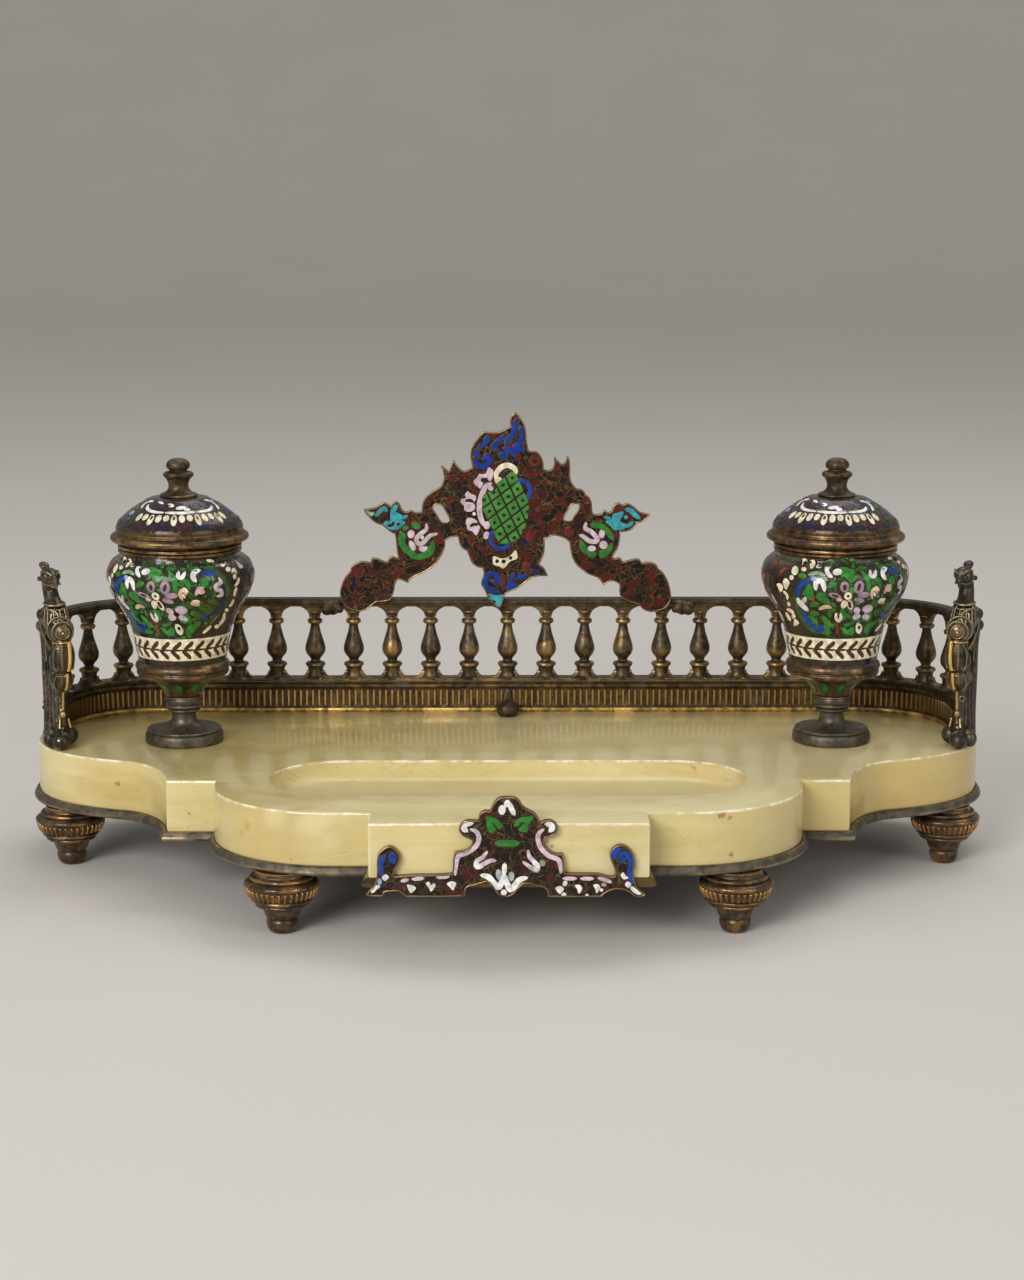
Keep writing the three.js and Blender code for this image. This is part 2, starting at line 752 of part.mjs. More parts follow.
// The radius inside the urn's body at a height above its seat
function urnInside(z) {
  const skin = scaled(urnBodyShares, urn.bodyRadius, urn.bodyHeight);
  const above = skin.findIndex(([, top]) => top > z);
  const [lowRadius, low] = skin[above - 1];
  const [highRadius, high] = skin[above];
  return THREE.MathUtils.mapLinear(z, low, high, lowRadius, highRadius) - urn.bodyWall;
}

// The ink pot hangs by its flange on the urn's mouth, clear of the wall and of the stud's head
function makePot() {
  const { wall, floor, flangeHeight } = pot;
  const height = collarZ + flangeHeight - potZ;
  const shoulder = potShoulderShare * height;
  const foot = urnInside(potZ - bodyZ) - pot.sideGap;
  const side = Math.min(urn.mouthRadius - pot.mouthGap, urnInside(potZ - bodyZ + shoulder) - pot.sideGap);
  const flange = collarBore - pot.flangeGap;
  return turned([
    [0, 0],
    [foot, 0],
    [side, shoulder],
    [side, height - flangeHeight],
    [flange, height - flangeHeight],
    [flange, height],
    [side - wall, height],
    [side - wall, shoulder],
    [foot - wall, floor],
    [0, floor],
  ], sides.medium);
}

function makeLidRim() {
  const side = scaled(rimShares, lid.rimRadius, lid.rimHeight);
  const ring = turned([[0, 0], ...side, [0, lid.rimHeight]], sides.large);
  const guide = rod(spigotRadius, -lid.spigotDepth, lid.rimHeight / 2, sides.large);
  const boreRadius = spigotRadius - lid.spigotWall;
  const bore = rod(boreRadius, -lid.spigotDepth - overrun, lid.rimHeight + overrun, sides.large);
  return cut(joined(ring, guide), bore);
}

function makeLidDome() {
  const skin = scaled(domeShares, lid.domeRadius, lid.domeHeight);
  const inside = skin.map(([radius, z]) => [radius - lid.domeWall, z - lid.domeWall]);
  const shell = turned([[0, 0], ...skin, [0, lid.domeHeight]], sides.large);
  const hollow = turned([[0, -overrun], ...inside, [0, lid.domeHeight - lid.domeWall]], sides.large);
  const bore = rod(lid.pinRadius + boreGap, 0, lid.domeHeight + overrun, sides.small);
  return cut(shell, hollow, bore);
}

function makeFinial() {
  const knob = turned([[0, 0], ...scaled(finialShares, lid.finialRadius, lid.finialHeight)], sides.medium);
  return joined(knob, rod(lid.pinRadius, -lid.pinLength, lid.finialHeight / 4, sides.small));
}

// A threaded rod with its head in the urn's body and its nut under the tray
function makeUrnStud() {
  const { radius, headRadius, headHeight, nutRadius, nutHeight } = urnStud;
  const nutTop = trayZ - deckZ - seatGap;
  return turned([
    [0, nutTop - nutHeight],
    [nutRadius, nutTop - nutHeight],
    [nutRadius, nutTop],
    [radius, nutTop],
    [radius, studHeadZ],
    [headRadius, studHeadZ],
    [headRadius, studHeadZ + headHeight],
    [0, studHeadZ + headHeight],
  ], sides.slender);
}

// Looks

const agedBronze = { color: 0x4a3d2a, roughness: 0.45, metalness: 0.85 };
const giltBronze = { color: 0x8f6a33, roughness: 0.38, metalness: 0.9 };
const onyx = { color: 0xd8d09a, roughness: 0.2, metalness: 0 };
const enamel = { color: 0x3a1f1c, roughness: 0.18, metalness: 0.1 };
const greenEnamel = { color: 0x3f6b34, roughness: 0.18, metalness: 0.1 };
const steel = { color: 0x77726a, roughness: 0.4, metalness: 0.9 };
const glazed = { color: 0xe9e6dc, roughness: 0.15, metalness: 0 };

// Assembly

const inkstand = new THREE.Group();

function place(parent, name, solid, look, x = 0, y = 0, z = 0, turn = 0) {
  const mesh = meshOf(name, solid, look);
  mesh.position.set(x, y, z);
  mesh.rotation.z = turn;
  parent.add(mesh);
}

place(inkstand, 'under_tray', makeTray(), agedBronze, 0, 0, trayZ);
place(inkstand, 'onyx_plateau', makePlateau(), onyx, 0, 0, plateauZ);
for (const [name, [x, y]] of Object.entries(footPlaces())) {
  place(inkstand, name, makeFoot(), agedBronze, x, y);
}

const baseZ = deckZ + seatGap;
const base = galleryMoulding(baseShares, gallery.baseHalfDepth, gallery.baseHeight);
const rail = galleryMoulding(railShares, gallery.railHalfDepth, gallery.railHeight);
place(inkstand, 'gallery_base', base, giltBronze, 0, 0, baseZ);
place(inkstand, 'gallery_top_rail', rail, agedBronze, 0, 0, railZ);
for (let i = -gallery.perSide; i <= gallery.perSide; i++) {
  const { x, y, bend } = galleryPlace(i * balusterPitch);
  const number = String(i + gallery.perSide + 1).padStart(2, '0');
  place(inkstand, `baluster_${number}`, makeBaluster(), agedBronze, x, y, balusterZ, -bend);
}
place(inkstand, 'gallery_bud', makeBud(), agedBronze, 0, galleryY - gallery.baseHalfDepth - seatGap, baseZ);

const railFrontY = galleryY - gallery.railHalfDepth - seatGap;
const claspZ = railZ + gallery.railHeight / 2 - clasp.drop;
place(inkstand, 'crest_plate', makeCrest(), enamel, 0, railFrontY, railZ - crest.drop);

const griffinEnd = galleryPlace(galleryHalf);
const griffinGap = seatGap + Math.sin(griffin.turn) * griffin.thickness / 2;
for (const [side, sign] of [['left', -1], ['right', 1]]) {
  const x = sign * griffinEnd.x;
  const y = griffinEnd.y - griffinGap;
  place(inkstand, `griffin_${side}`, makeGriffin(), giltBronze, x, y, baseZ, -sign * griffin.turn);
  const claspX = sign * (crest.halfWidth + seatGap);
  const knot = sign > 0 ? makeClasp() : makeClasp().rotate([0, 0, 180]);
  place(inkstand, `crest_clasp_${side}`, knot, agedBronze, claspX, railFrontY - clasp.radius, claspZ);
}
place(inkstand, 'front_mount', makeMount(), enamel, 0, breakY - seatGap, mountZ);

for (const [side, [x, y]] of [['left', urnPlaces[0]], ['right', urnPlaces[1]]]) {
  const well = new THREE.Group();
  well.position.set(x, y, deckZ);
  inkstand.add(well);
  place(well, `${side}_urn_stud`, makeUrnStud(), steel);
  place(well, `${side}_urn_foot`, makeUrnFoot(), agedBronze, 0, 0, seatGap);
  place(well, `${side}_urn_cup`, makeUrnCup(), agedBronze, 0, 0, cupZ);
  place(well, `${side}_urn_body`, makeUrnBody(), greenEnamel, 0, 0, bodyZ);
  place(well, `${side}_urn_collar`, makeCollar(), giltBronze, 0, 0, collarZ);
  place(well, `${side}_ink_pot`, makePot(), glazed, 0, 0, potZ);
  place(well, `${side}_lid_rim`, makeLidRim(), agedBronze, 0, 0, lidZ);
  place(well, `${side}_lid_dome`, makeLidDome(), enamel, 0, 0, domeZ);
  place(well, `${side}_lid_finial`, makeFinial(), agedBronze, 0, 0, finialZ);
}

const frontY = breakY - seatGap - mount.thickness;
const rearY = plateau.backY + tray.overhang;
inkstand.position.y = -(frontY + rearY) / 2;

export default inkstand;
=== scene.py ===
"""A desk inkstand of onyx, aged bronze and champleve enamel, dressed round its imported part."""

import math

import bmesh
import bpy
from mathutils import Matrix, Vector


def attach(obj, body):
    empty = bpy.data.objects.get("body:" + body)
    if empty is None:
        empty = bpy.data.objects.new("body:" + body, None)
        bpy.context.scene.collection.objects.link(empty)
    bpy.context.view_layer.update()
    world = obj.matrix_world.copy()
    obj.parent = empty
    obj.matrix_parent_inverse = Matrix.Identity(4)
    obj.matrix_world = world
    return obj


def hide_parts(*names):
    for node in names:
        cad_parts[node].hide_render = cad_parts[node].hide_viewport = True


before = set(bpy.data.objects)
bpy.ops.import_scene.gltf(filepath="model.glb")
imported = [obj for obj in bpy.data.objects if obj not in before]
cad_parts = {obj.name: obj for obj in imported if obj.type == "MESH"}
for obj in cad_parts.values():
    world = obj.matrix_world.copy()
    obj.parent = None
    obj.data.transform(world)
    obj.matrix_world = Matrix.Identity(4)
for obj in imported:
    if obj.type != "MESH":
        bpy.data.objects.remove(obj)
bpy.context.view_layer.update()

MM = 0.001
WELD = 1e-6
QUARTER = math.pi / 2
FULL = 2 * math.pi
ACROSS, DEEP, UP = 0, 1, 2

# Heights of the parts on the desk, in millimetres

TRAY_Z = 25.3
SLAB_Z = 28.7
DECK_Z = 50.0
BASE_Z = 50.3
BALUSTER_Z = 65.3
RAIL_Z = 98.0
CREST_Z = 97.1
MOUNT_Z = 21.3
CUP_Z = 70.0
BODY_Z = 85.6
COLLAR_Z = 130.2
POT_Z = 91.7
LID_Z = 134.0
DOME_Z = 141.5
FINIAL_Z = 155.2

# Plan of the slab, in millimetres

HALF_WIDTH = 201.4
BACK_Y = 101.8
CORNER = 46.0
URN_X = 138.0
URN_Y = 35.8
GALLERY_Y = 95.8
GALLERY_X = 155.4
GALLERY_RADIUS = 40.0
GALLERY_RUN = 9.0
BREAK_X = 53.0
BREAK_Y = -102.7
MOUNT_FACE_Y = -105.4
CREST_FACE_Y = 89.4


# Shader maths


class Value:
    """A socket of a finish that can be written in sums."""

    def __init__(self, finish, socket):
        self.finish = finish
        self.socket = socket

    def _maths(self, operation, first, second):
        return self.finish.node("Math", {"operation": operation}, {0: first, 1: second})

    def __add__(self, other):
        return self._maths("ADD", self, other)

    def __radd__(self, other):
        return self._maths("ADD", other, self)

    def __sub__(self, other):
        return self._maths("SUBTRACT", self, other)

    def __rsub__(self, other):
        return self._maths("SUBTRACT", other, self)

    def __mul__(self, other):
        return self._maths("MULTIPLY", self, other)

    def __rmul__(self, other):
        return self._maths("MULTIPLY", other, self)


class Finish:
    """A procedural finish and the nodes that make it."""

    def __init__(self, name):
        self.material = bpy.data.materials.new(name)
        self.material.use_nodes = True
        self.tree = self.material.node_tree
        self.shader = self.tree.nodes["Principled BSDF"]
        self.place = self.node("TexCoord", out="Object")

    def feed(self, socket, value):
        if isinstance(value, Value):
            self.tree.links.new(value.socket, socket)
        elif isinstance(value, tuple) and len(value) == 3 and socket.type == "RGBA":
            socket.default_value = (*value, 1)
        else:
            socket.default_value = value

    def node(self, kind, settings=None, sockets=None, out=0):
        node = self.tree.nodes.new("ShaderNode" + kind)
        for key, value in (settings or {}).items():
            if key == "blend":
                node.color_ramp.interpolation = value
            elif key == "stops":
                while len(node.color_ramp.elements) < len(value):
                    node.color_ramp.elements.new(0.5)
                for element, (position, colour) in zip(node.color_ramp.elements, value):
                    element.position = position
                    element.color = (*colour, 1)
            else:
                setattr(node, key, value)
        for key, value in (sockets or {}).items():
            self.feed(node.inputs[key], value)
        return Value(self, node.outputs[out])

    def mix(self, share, first, second):
        return self.node("Mix", {"data_type": "RGBA"}, {0: share, 6: first, 7: second}, 2)

    def noise(self, scale, detail=3.0, roughness=0.5, distortion=0.0, place=None):
        sockets = {"Vector": place or self.place, "Scale": scale, "Detail": detail}
        sockets.update({"Roughness": roughness, "Distortion": distortion})
        return self.node("TexNoise", None, sockets)

    def between(self, value, low, high, to_low=0.0, to_high=1.0):
        sockets = {0: value, 1: low, 2: high, 3: to_low, 4: to_high}
        return self.node("MapRange", {"interpolation_type": "SMOOTHSTEP"}, sockets)

    def stretched(self, scale, turn=(0, 0, 0)):
        return self.node("Mapping", None, {"Vector": self.place, "Scale": scale, "Rotation": turn})

    def ordinate(self, axis):
        return self.node("SeparateXYZ", None, {0: self.place}, axis)

    def edges(self, low=0.51, high=0.58):
        return self.between(self.node("NewGeometry", out="Pointiness"), low, high)

    def hollows(self):
        return self.between(self.node("NewGeometry", out="Pointiness"), 0.42, 0.49, 1.0, 0.0)

    def bump(self, height, distance, strength):
        return self.node("Bump", None, {"Height": height, "Distance": distance, "Strength": strength})

    def wear(self, **sockets):
        for name, value in sockets.items():
            self.feed(self.shader.inputs[name.replace("_", " ")], value)
        return self.material


def aged_bronze(name, dark, mid, bright, rub, gloss, bloom, shade=None):
    """Patinated bronze: dark in the hollows, rubbed bright along its edges and in patches.

    Shade is two depths of a painted shade: behind the second it is as it is, and in front of the first it is painted
    dark.
    """
    f = Finish(name)
    clouds = f.noise(70, 4, 0.6, 0.4)
    grain = f.noise(900, 3, 0.6)
    streaks = f.noise(260, 3, 0.55, 0.8)
    edge = f.edges()
    hollow = f.hollows()
    patch = f.between(clouds, 0.44, 0.66)
    rubbed = f.between(edge * (0.5 + rub) + patch * rub + (streaks - 0.5) * 0.5, 0.18, 0.95)
    ground = f.mix(f.between(streaks, 0.35, 0.7), dark, mid)
    metal = f.mix(rubbed, ground, bright)
    tarnish = f.mix(hollow * 0.85, metal, tuple(0.35 * c for c in dark))
    dusty = f.between(f.noise(150, 4, 0.65), 0.5, 0.75) * (1 - rubbed) * bloom
    colour = f.mix(dusty, tarnish, (0.21, 0.2, 0.165))
    # Painted shade: darker in front of the first depth, fading out behind the second
    if shade:
        deep = f.between(f.ordinate(DEEP), *shade, 1.0, 0.0)
        colour = f.mix(deep * 0.93, colour, dark)
    relief = f.bump(grain * 0.4 + clouds * 0.6, 0.00025, 0.35)
    return f.wear(
        Base_Color=colour,
        Metallic=0.62 + 0.33 * rubbed,
        Roughness=f.between(grain, 0.2, 0.8, gloss - 0.06, gloss + 0.14) - 0.1 * rubbed,
        Normal=relief,
    )


def enamel(name, colour):
    """Fired glass enamel: a slightly uneven polished face with a few pits and darker pools."""
    f = Finish(name)
    pools = f.between(f.noise(420, 3, 0.55), 0.32, 0.68)
    tone = f.mix(pools, tuple(0.6 * c for c in colour), colour)
    specks = f.between(f.noise(2600, 2, 0.6), 0.68, 0.74)
    worn = f.mix(specks * 0.5, tone, tuple(0.25 * c for c in colour))
    relief = f.bump(f.noise(500, 2, 0.5) - specks * 0.3, 0.00008, 0.5)
    return f.wear(
        Base_Color=worn,
        Roughness=f.between(pools, 0.0, 1.0, 0.2, 0.3) + specks * 0.3,
        Specular_IOR_Level=0.22,
        Coat_Weight=0.12,
        Coat_Roughness=0.08,
        Normal=relief,
    )


def cell_ground(name, glasses, size, line, thick=0.06, dust=None, glaze=0.05, gloss=0.2, ripple=0.00022,
                shine=0.16):
    """Enamel in many small curling cells, each of one of the glasses, between thin bronze walls.

    The size of a cell is in millimetres. Dust is a film between two heights: low, high and its tone.
    """
    f = Finish(name)
    curl = f.node("TexNoise", None, {"Vector": f.place, "Scale": 420.0 / size, "Detail": 1.5}, "Color")
    sockets = {0: curl, 1: (0.0036 * size,) * 3, 2: f.place}
    place = f.node("VectorMath", {"operation": "MULTIPLY_ADD"}, sockets)
    cells = {"Vector": place, "Scale": 1000.0 / size}
    share = f.node("SeparateColor", None, {0: f.node("TexVoronoi", None, cells, "Color")})
    glass = f.node("ValToRGB", {"blend": "CONSTANT", "stops": glasses}, {0: share})
    reach = f.node("TexVoronoi", {"feature": "DISTANCE_TO_EDGE"}, cells)
    wall = f.between(reach, 0.4 * thick, thick, 1.0, 0.0)
    pools = f.between(f.noise(900 / size, 3), 0.35, 0.65)
    glass = f.mix(pools * 0.6, glass, (0.009, 0.006, 0.005))
    rim = f.between(reach, thick, 2.6 * thick, 1.0, 0.0)
    glass = f.mix(rim * 0.8, glass, (0.01, 0.006, 0.004))
    worn = f.between(f.noise(160, 4, 0.6), 0.3, 0.62)
    colour = f.mix(wall * (0.35 + 0.65 * worn), glass, line)
    if dust:
        low, high, tone = dust
        film = f.between(f.ordinate(UP), low, high) * f.between(f.noise(190, 4, 0.65), 0.3, 0.6)
        colour = f.mix(film, colour, tone)
    relief = f.bump(wall * 0.5 + f.noise(330, 3, 0.6), ripple, 0.8)
    return f.wear(
        Base_Color=colour,
        Metallic=wall * 0.75,
        Roughness=gloss + 0.14 * pools + wall * 0.2,
        Specular_IOR_Level=shine,
        Coat_Weight=glaze,
        Coat_Roughness=0.1,
        Normal=relief,
    )


ONYX_TONES = [
    (0.28, (0.47, 0.34, 0.105)),
    (0.42, (0.56, 0.435, 0.165)),
    (0.52, (0.63, 0.51, 0.22)),
    (0.62, (0.68, 0.58, 0.285)),
    (0.78, (0.74, 0.665, 0.39)),
]
# Rust stains: the place and reach in millimetres, and the tint
ONYX_STAINS = (
    (81.3, -84.6, 48.2, 2.0, (0.30, 0.09, 0.015)),
    (84.6, -84.2, 47.0, 1.4, (0.36, 0.13, 0.02)),
    (85.1, -83.4, 32.7, 1.5, (0.25, 0.10, 0.02)),
    (-161.5, -0.7, 40.2, 1.4, (0.28, 0.13, 0.03)),
    (-101.1, -74.2, 41.7, 2.4, (0.52, 0.30, 0.08)),
    (-103.4, -72.0, 38.4, 1.8, (0.55, 0.34, 0.10)),
    (14.3, -102.7, 42.7, 0.7, (0.35, 0.22, 0.08)),
    (15.9, -102.7, 41.2, 0.8, (0.33, 0.2, 0.07)),
)


def polished_onyx(name):
    """Cloudy pale green and honey onyx: soft bands, milky veils, thin veins, rust specks and stains."""
    f = Finish(name)
    bands = f.noise(1.9, 5, 0.55, 1.3, f.stretched((5.0, 9.0, 30.0), (0.05, 0.12, 0.3)))
    veils = f.noise(11, 5, 0.6, 0.8, f.stretched((1.0, 1.6, 0.9), (0, 0, 0.4)))
    patches = f.noise(24, 3, 0.5, 0.6)
    stone = f.node("ValToRGB", {"stops": ONYX_TONES}, {0: bands * 0.55 + veils * 0.45})
    stone = f.mix(f.between(veils, 0.46, 0.66) * 0.35, stone, (0.5, 0.455, 0.19))
    stone = f.mix(f.between(patches, 0.56, 0.74) * 0.35, stone, (0.79, 0.71, 0.45))
    folds = f.noise(17, 4, 0.6, 1.0, f.stretched((1.0, 1.0, 2.2), (0.3, 0.5, 0.2)))
    vein = f.between(f.node("Math", {"operation": "ABSOLUTE"}, {0: folds - 0.5}), 0.0, 0.006, 1.0, 0.0)
    stone = f.mix(vein * 0.35, stone, (0.42, 0.26, 0.08))
    stone = f.mix(f.between(f.noise(75, 3, 0.6), 0.72, 0.8) * 0.75, stone, (0.38, 0.14, 0.025))
    specks = f.between(f.noise(520, 2, 0.55), 0.735, 0.78)
    stone = f.mix(specks * 0.7, stone, (0.2, 0.1, 0.03))
    across, up = f.ordinate(ACROSS), f.ordinate(UP)
    stone = f.mix(f.between(across + veils * 0.06, 0.06, 0.23) * 0.75, stone, (0.52, 0.37, 0.115))
    for x, y, z, reach, tint in ONYX_STAINS:
        middle = (x * MM, y * MM, z * MM)
        apart = f.node("VectorMath", {"operation": "DISTANCE"}, {0: f.place, 1: middle}, "Value")
        stain = f.between(apart + (f.noise(420, 3) - 0.5) * 0.004, 0.25 * reach * MM, reach * MM, 1.0, 0.0)
        stone = f.mix(stain * 0.8, stone, tint)

    # Painted light and shade on the flat top: lighter to the right, darker to the left, and darker still down in the
    # pen trough
    upward = f.node("SeparateXYZ", None, {0: f.node("NewGeometry", out="Normal")}, UP)
    flat = f.between(upward, 0.9, 0.99)
    top = flat * f.between(up, 0.049, 0.0498)
    stone = f.mix(top * f.between(across, -0.14, 0.06) * 0.4, stone, (0.88, 0.8, 0.5))
    stone = f.mix(top * f.between(across, -0.17, -0.03, 1.0, 0.0) * 0.35, stone, (0.36, 0.31, 0.14))
    # Painted shade down in the pen trough
    sunk = flat * f.between(up, 0.0425, 0.0465, 1.0, 0.0)
    stone = f.mix(sunk * 0.45, stone, (0.42, 0.36, 0.18))

    # Pale along the edges, partly wear and partly painted highlight, and a patchy painted highlight along the brow
    # of the slab
    edge = f.edges(0.52, 0.6)
    stone = f.mix(edge * 0.4, stone, (0.86, 0.8, 0.6))
    brow = f.between(up, 0.0488, 0.0497) * f.between(upward, 0.9, 0.995, 1.0, 0.0)
    highlight_breaks = f.between(f.noise(150, 5, 0.65, 0.5), 0.4, 0.62)
    colour = f.mix(brow * highlight_breaks * 0.85, stone, (0.9, 0.85, 0.7))
    scooped = f.between(up, 0.0475, 0.0497, 1.0, 0.0) * f.between(f.ordinate(DEEP), -0.068, -0.063)
    scooped = scooped * f.between(across * across, 0.0100, 0.0115, 1.0, 0.0)
    return f.wear(
        Base_Color=colour,
        Roughness=f.between(f.noise(60, 4), 0.3, 0.7, 0.1, 0.24) + edge * 0.15 + scooped * 0.3,
        Subsurface_Weight=0.22,
        Subsurface_Radius=(0.006, 0.005, 0.002),
        Coat_Weight=0.25,
        Coat_Roughness=0.06,
        IOR=1.55,
        Normal=f.bump(f.noise(240, 3) * 0.5 - specks, 0.0001, 0.35),
    )


def plain_metal(name, colour, roughness):
    f = Finish(name)
    grain = f.noise(800, 3)
    tone = f.mix(f.between(f.noise(120, 3), 0.35, 0.7), colour, tuple(0.6 * c for c in colour))
    relief = f.bump(grain, 0.0001, 0.3)
    return f.wear(Base_Color=tone, Metallic=0.95, Roughness=roughness + 0.2 * grain, Normal=relief)


def glazed_ware(name):
    f = Finish(name)
    crackle = f.node("TexVoronoi", {"feature": "DISTANCE_TO_EDGE"}, {"Vector": f.place, "Scale": 420.0})
    lines = f.between(crackle, 0.0, 0.035, 1.0, 0.0)
    ink = f.between(f.noise(130, 4), 0.5, 0.62) * f.between(f.ordinate(UP), 0.1285, 0.1312, 1.0, 0.0)
    tone = f.mix(lines * 0.4, (0.78, 0.75, 0.66), (0.42, 0.36, 0.26))
    colour = f.mix(ink * 0.9, tone, (0.02, 0.022, 0.05))
    return f.wear(Base_Color=colour, Roughness=0.14 + 0.12 * lines, Coat_Weight=0.5)


# Bronzes: the material's name, tones of its hollows, faces and rubbed edges, and how rubbed, matt and dusty it is;
# the frieze and fillet also give two depths for a painted shade

BRONZES = {
    "bronze": ("aged_bronze", (0.030, 0.022, 0.013), (0.115, 0.074, 0.034), (0.4, 0.25, 0.1), 0.42, 0.42, 0.35),
    "rail": ("rail_bronze", (0.026, 0.019, 0.011), (0.07, 0.046, 0.022), (0.26, 0.175, 0.085), 0.22, 0.42, 0.35),
    "copper": ("foot_bronze", (0.045, 0.032, 0.02), (0.15, 0.085, 0.035), (0.5, 0.28, 0.105), 0.5, 0.3, 0.35),
    "greyed": ("grey_bronze", (0.06, 0.052, 0.038), (0.13, 0.1, 0.062), (0.36, 0.27, 0.17), 0.35, 0.4, 0.55),
    "gilt": ("gilt_bronze", (0.15, 0.085, 0.022), (0.46, 0.285, 0.08), (0.8, 0.55, 0.2), 0.6, 0.32, 0.1),
    "worn": ("worn_gilt", (0.03, 0.02, 0.009), (0.12, 0.07, 0.025), (0.55, 0.35, 0.12), 0.45, 0.34, 0.05),
    "dull": ("dull_bronze", (0.024, 0.019, 0.012), (0.085, 0.063, 0.036), (0.32, 0.235, 0.125), 0.4, 0.33, 0.2),
    "ridge": ("ridge_bronze", (0.035, 0.028, 0.018), (0.1, 0.078, 0.048), (0.27, 0.215, 0.135), 0.25, 0.4, 0.2),
    # The frieze and fillet are painted darker towards their front ends: painted shade
    "frieze": ("frieze_bronze", (0.03, 0.019, 0.008), (0.12, 0.07, 0.024), (0.4, 0.25, 0.085), 0.42, 0.5, 0.35,
               (0.058, 0.09)),
    "fillet": ("fillet_gilt", (0.2, 0.12, 0.03), (0.6, 0.38, 0.1), (1.0, 0.7, 0.27), 0.8, 0.36, 0.0,
               (0.052, 0.088)),
    "wire": ("cell_bronze", (0.016, 0.010, 0.005), (0.04, 0.024, 0.009), (0.16, 0.1, 0.038), 0.25, 0.4, 0.05),
    "collar": ("collar_bronze", (0.03, 0.018, 0.008), (0.13, 0.07, 0.022), (0.4, 0.24, 0.085), 0.4, 0.34, 0.25),
}

# Enamels: the colour of each glass

ENAMELS = {
    "cobalt": (0.004, 0.038, 0.30), "azure": (0.006, 0.055, 0.34), "navy": (0.012, 0.022, 0.085),
    "sky": (0.21, 0.42, 0.72), "turquoise": (0.045, 0.36, 0.44), "green": (0.03, 0.21, 0.03),
    "leaf": (0.045, 0.27, 0.04), "moss": (0.05, 0.105, 0.022), "sage": (0.28, 0.4, 0.25),
    "lilac": (0.66, 0.52, 0.59), "pink": (0.62, 0.42, 0.38), "peach": (0.72, 0.5, 0.33),
    "cream": (0.87, 0.79, 0.56), "white": (0.86, 0.85, 0.81), "grey": (0.42, 0.45, 0.47),
    "red": (0.15, 0.014, 0.012), "rust": (0.26, 0.045, 0.012), "plum": (0.075, 0.018, 0.03),
    "mauve": (0.36, 0.26, 0.31), "dark": (0.018, 0.012, 0.009), "brown": (0.075, 0.03, 0.014),
}

CELL_WALL = (0.14, 0.088, 0.032)
finish = {look: aged_bronze(*row) for look, row in BRONZES.items()}
finish.update({look: enamel(look + "_enamel", tone) for look, tone in ENAMELS.items()})
finish.update({
    "onyx": polished_onyx("polished_onyx"),
    "steel": plain_metal("stud_steel", (0.35, 0.34, 0.31), 0.3),
    "back": plain_metal("plate_back_bronze", (0.13, 0.085, 0.04), 0.36),
    "ware": glazed_ware("glazed_ware"),
    "crest": cell_ground("crest_enamel", [
        (0.0, (0.010, 0.004, 0.003)), (0.24, (0.095, 0.006, 0.005)), (0.42, (0.024, 0.007, 0.005)),
        (0.54, (0.12, 0.010, 0.006)), (0.76, (0.009, 0.007, 0.036)), (0.86, (0.032, 0.013, 0.005)),
    ], 3.3, CELL_WALL),
    "mount": cell_ground("mount_enamel", [
        (0.0, (0.018, 0.009, 0.007)), (0.4, (0.085, 0.010, 0.012)), (0.58, (0.016, 0.011, 0.010)),
        (0.76, (0.06, 0.016, 0.028)), (0.9, (0.04, 0.025, 0.010)),
    ], 3.2, CELL_WALL),
    "body": cell_ground("body_enamel", [
        (0.0, (0.018, 0.008, 0.009)), (0.4, (0.034, 0.010, 0.014)), (0.62, (0.012, 0.022, 0.009)),
        (0.76, (0.07, 0.010, 0.010)), (0.88, (0.02, 0.016, 0.045)),
    ], 2.5, (0.08, 0.05, 0.02), 0.06, (0.1265, 0.1300, (0.10, 0.105, 0.07)), 0.4, 0.08, 0.0005, 0.3),
    "foliage": cell_ground("leaf_enamel", [
        (0.0, (0.03, 0.16, 0.028)), (0.3, (0.014, 0.05, 0.010)), (0.46, (0.05, 0.23, 0.04)),
        (0.68, (0.022, 0.014, 0.008)), (0.78, (0.035, 0.12, 0.02)), (0.94, (0.07, 0.012, 0.012)),
    ], 3.1, (0.05, 0.028, 0.012), 0.09, None, 0.35, 0.08, 0.0004, 0.3),
    "dome": cell_ground("dome_enamel", [
        (0.0, (0.026, 0.009, 0.017)), (0.36, (0.05, 0.011, 0.014)), (0.56, (0.012, 0.008, 0.012)),
        (0.76, (0.022, 0.012, 0.055)), (0.88, (0.06, 0.022, 0.012)),
    ], 2.4, (0.1, 0.058, 0.022), 0.06, None, 0.4, 0.05, 0.0011, 0.25),
})


# Modelling tools


def put_down():
    bpy.ops.object.select_all(action="DESELECT")


def pick_up(*pieces):
    put_down()
    for piece in pieces:
        piece.select_set(True)
    bpy.context.view_layer.objects.active = pieces[0]


def edit(piece, chosen="SELECT"):
    pick_up(piece)
    bpy.ops.object.mode_set(mode="EDIT")
    bpy.ops.mesh.select_all(action=chosen)


def leave():
    bpy.ops.object.mode_set(mode="OBJECT")


def tidy_faces(piece):
    edit(piece)
    bpy.ops.mesh.remove_doubles(threshold=WELD)
    bpy.ops.mesh.normals_make_consistent(inside=False)
    leave()


def coat(piece, *looks):
    piece.data.materials.clear()
    for look in looks:
        piece.data.materials.append(finish[look])
    return piece


def smooth(piece, degrees=38):
    pick_up(piece)
    bpy.ops.object.shade_smooth_by_angle(angle=math.radians(degrees))
    return piece


def apply_modifier(piece, kind, **settings):
    pick_up(piece)
    modifier = piece.modifiers.new(kind.lower(), kind)
    for key, value in settings.items():
        setattr(modifier, key, value)
    bpy.ops.object.modifier_apply(modifier=modifier.name)


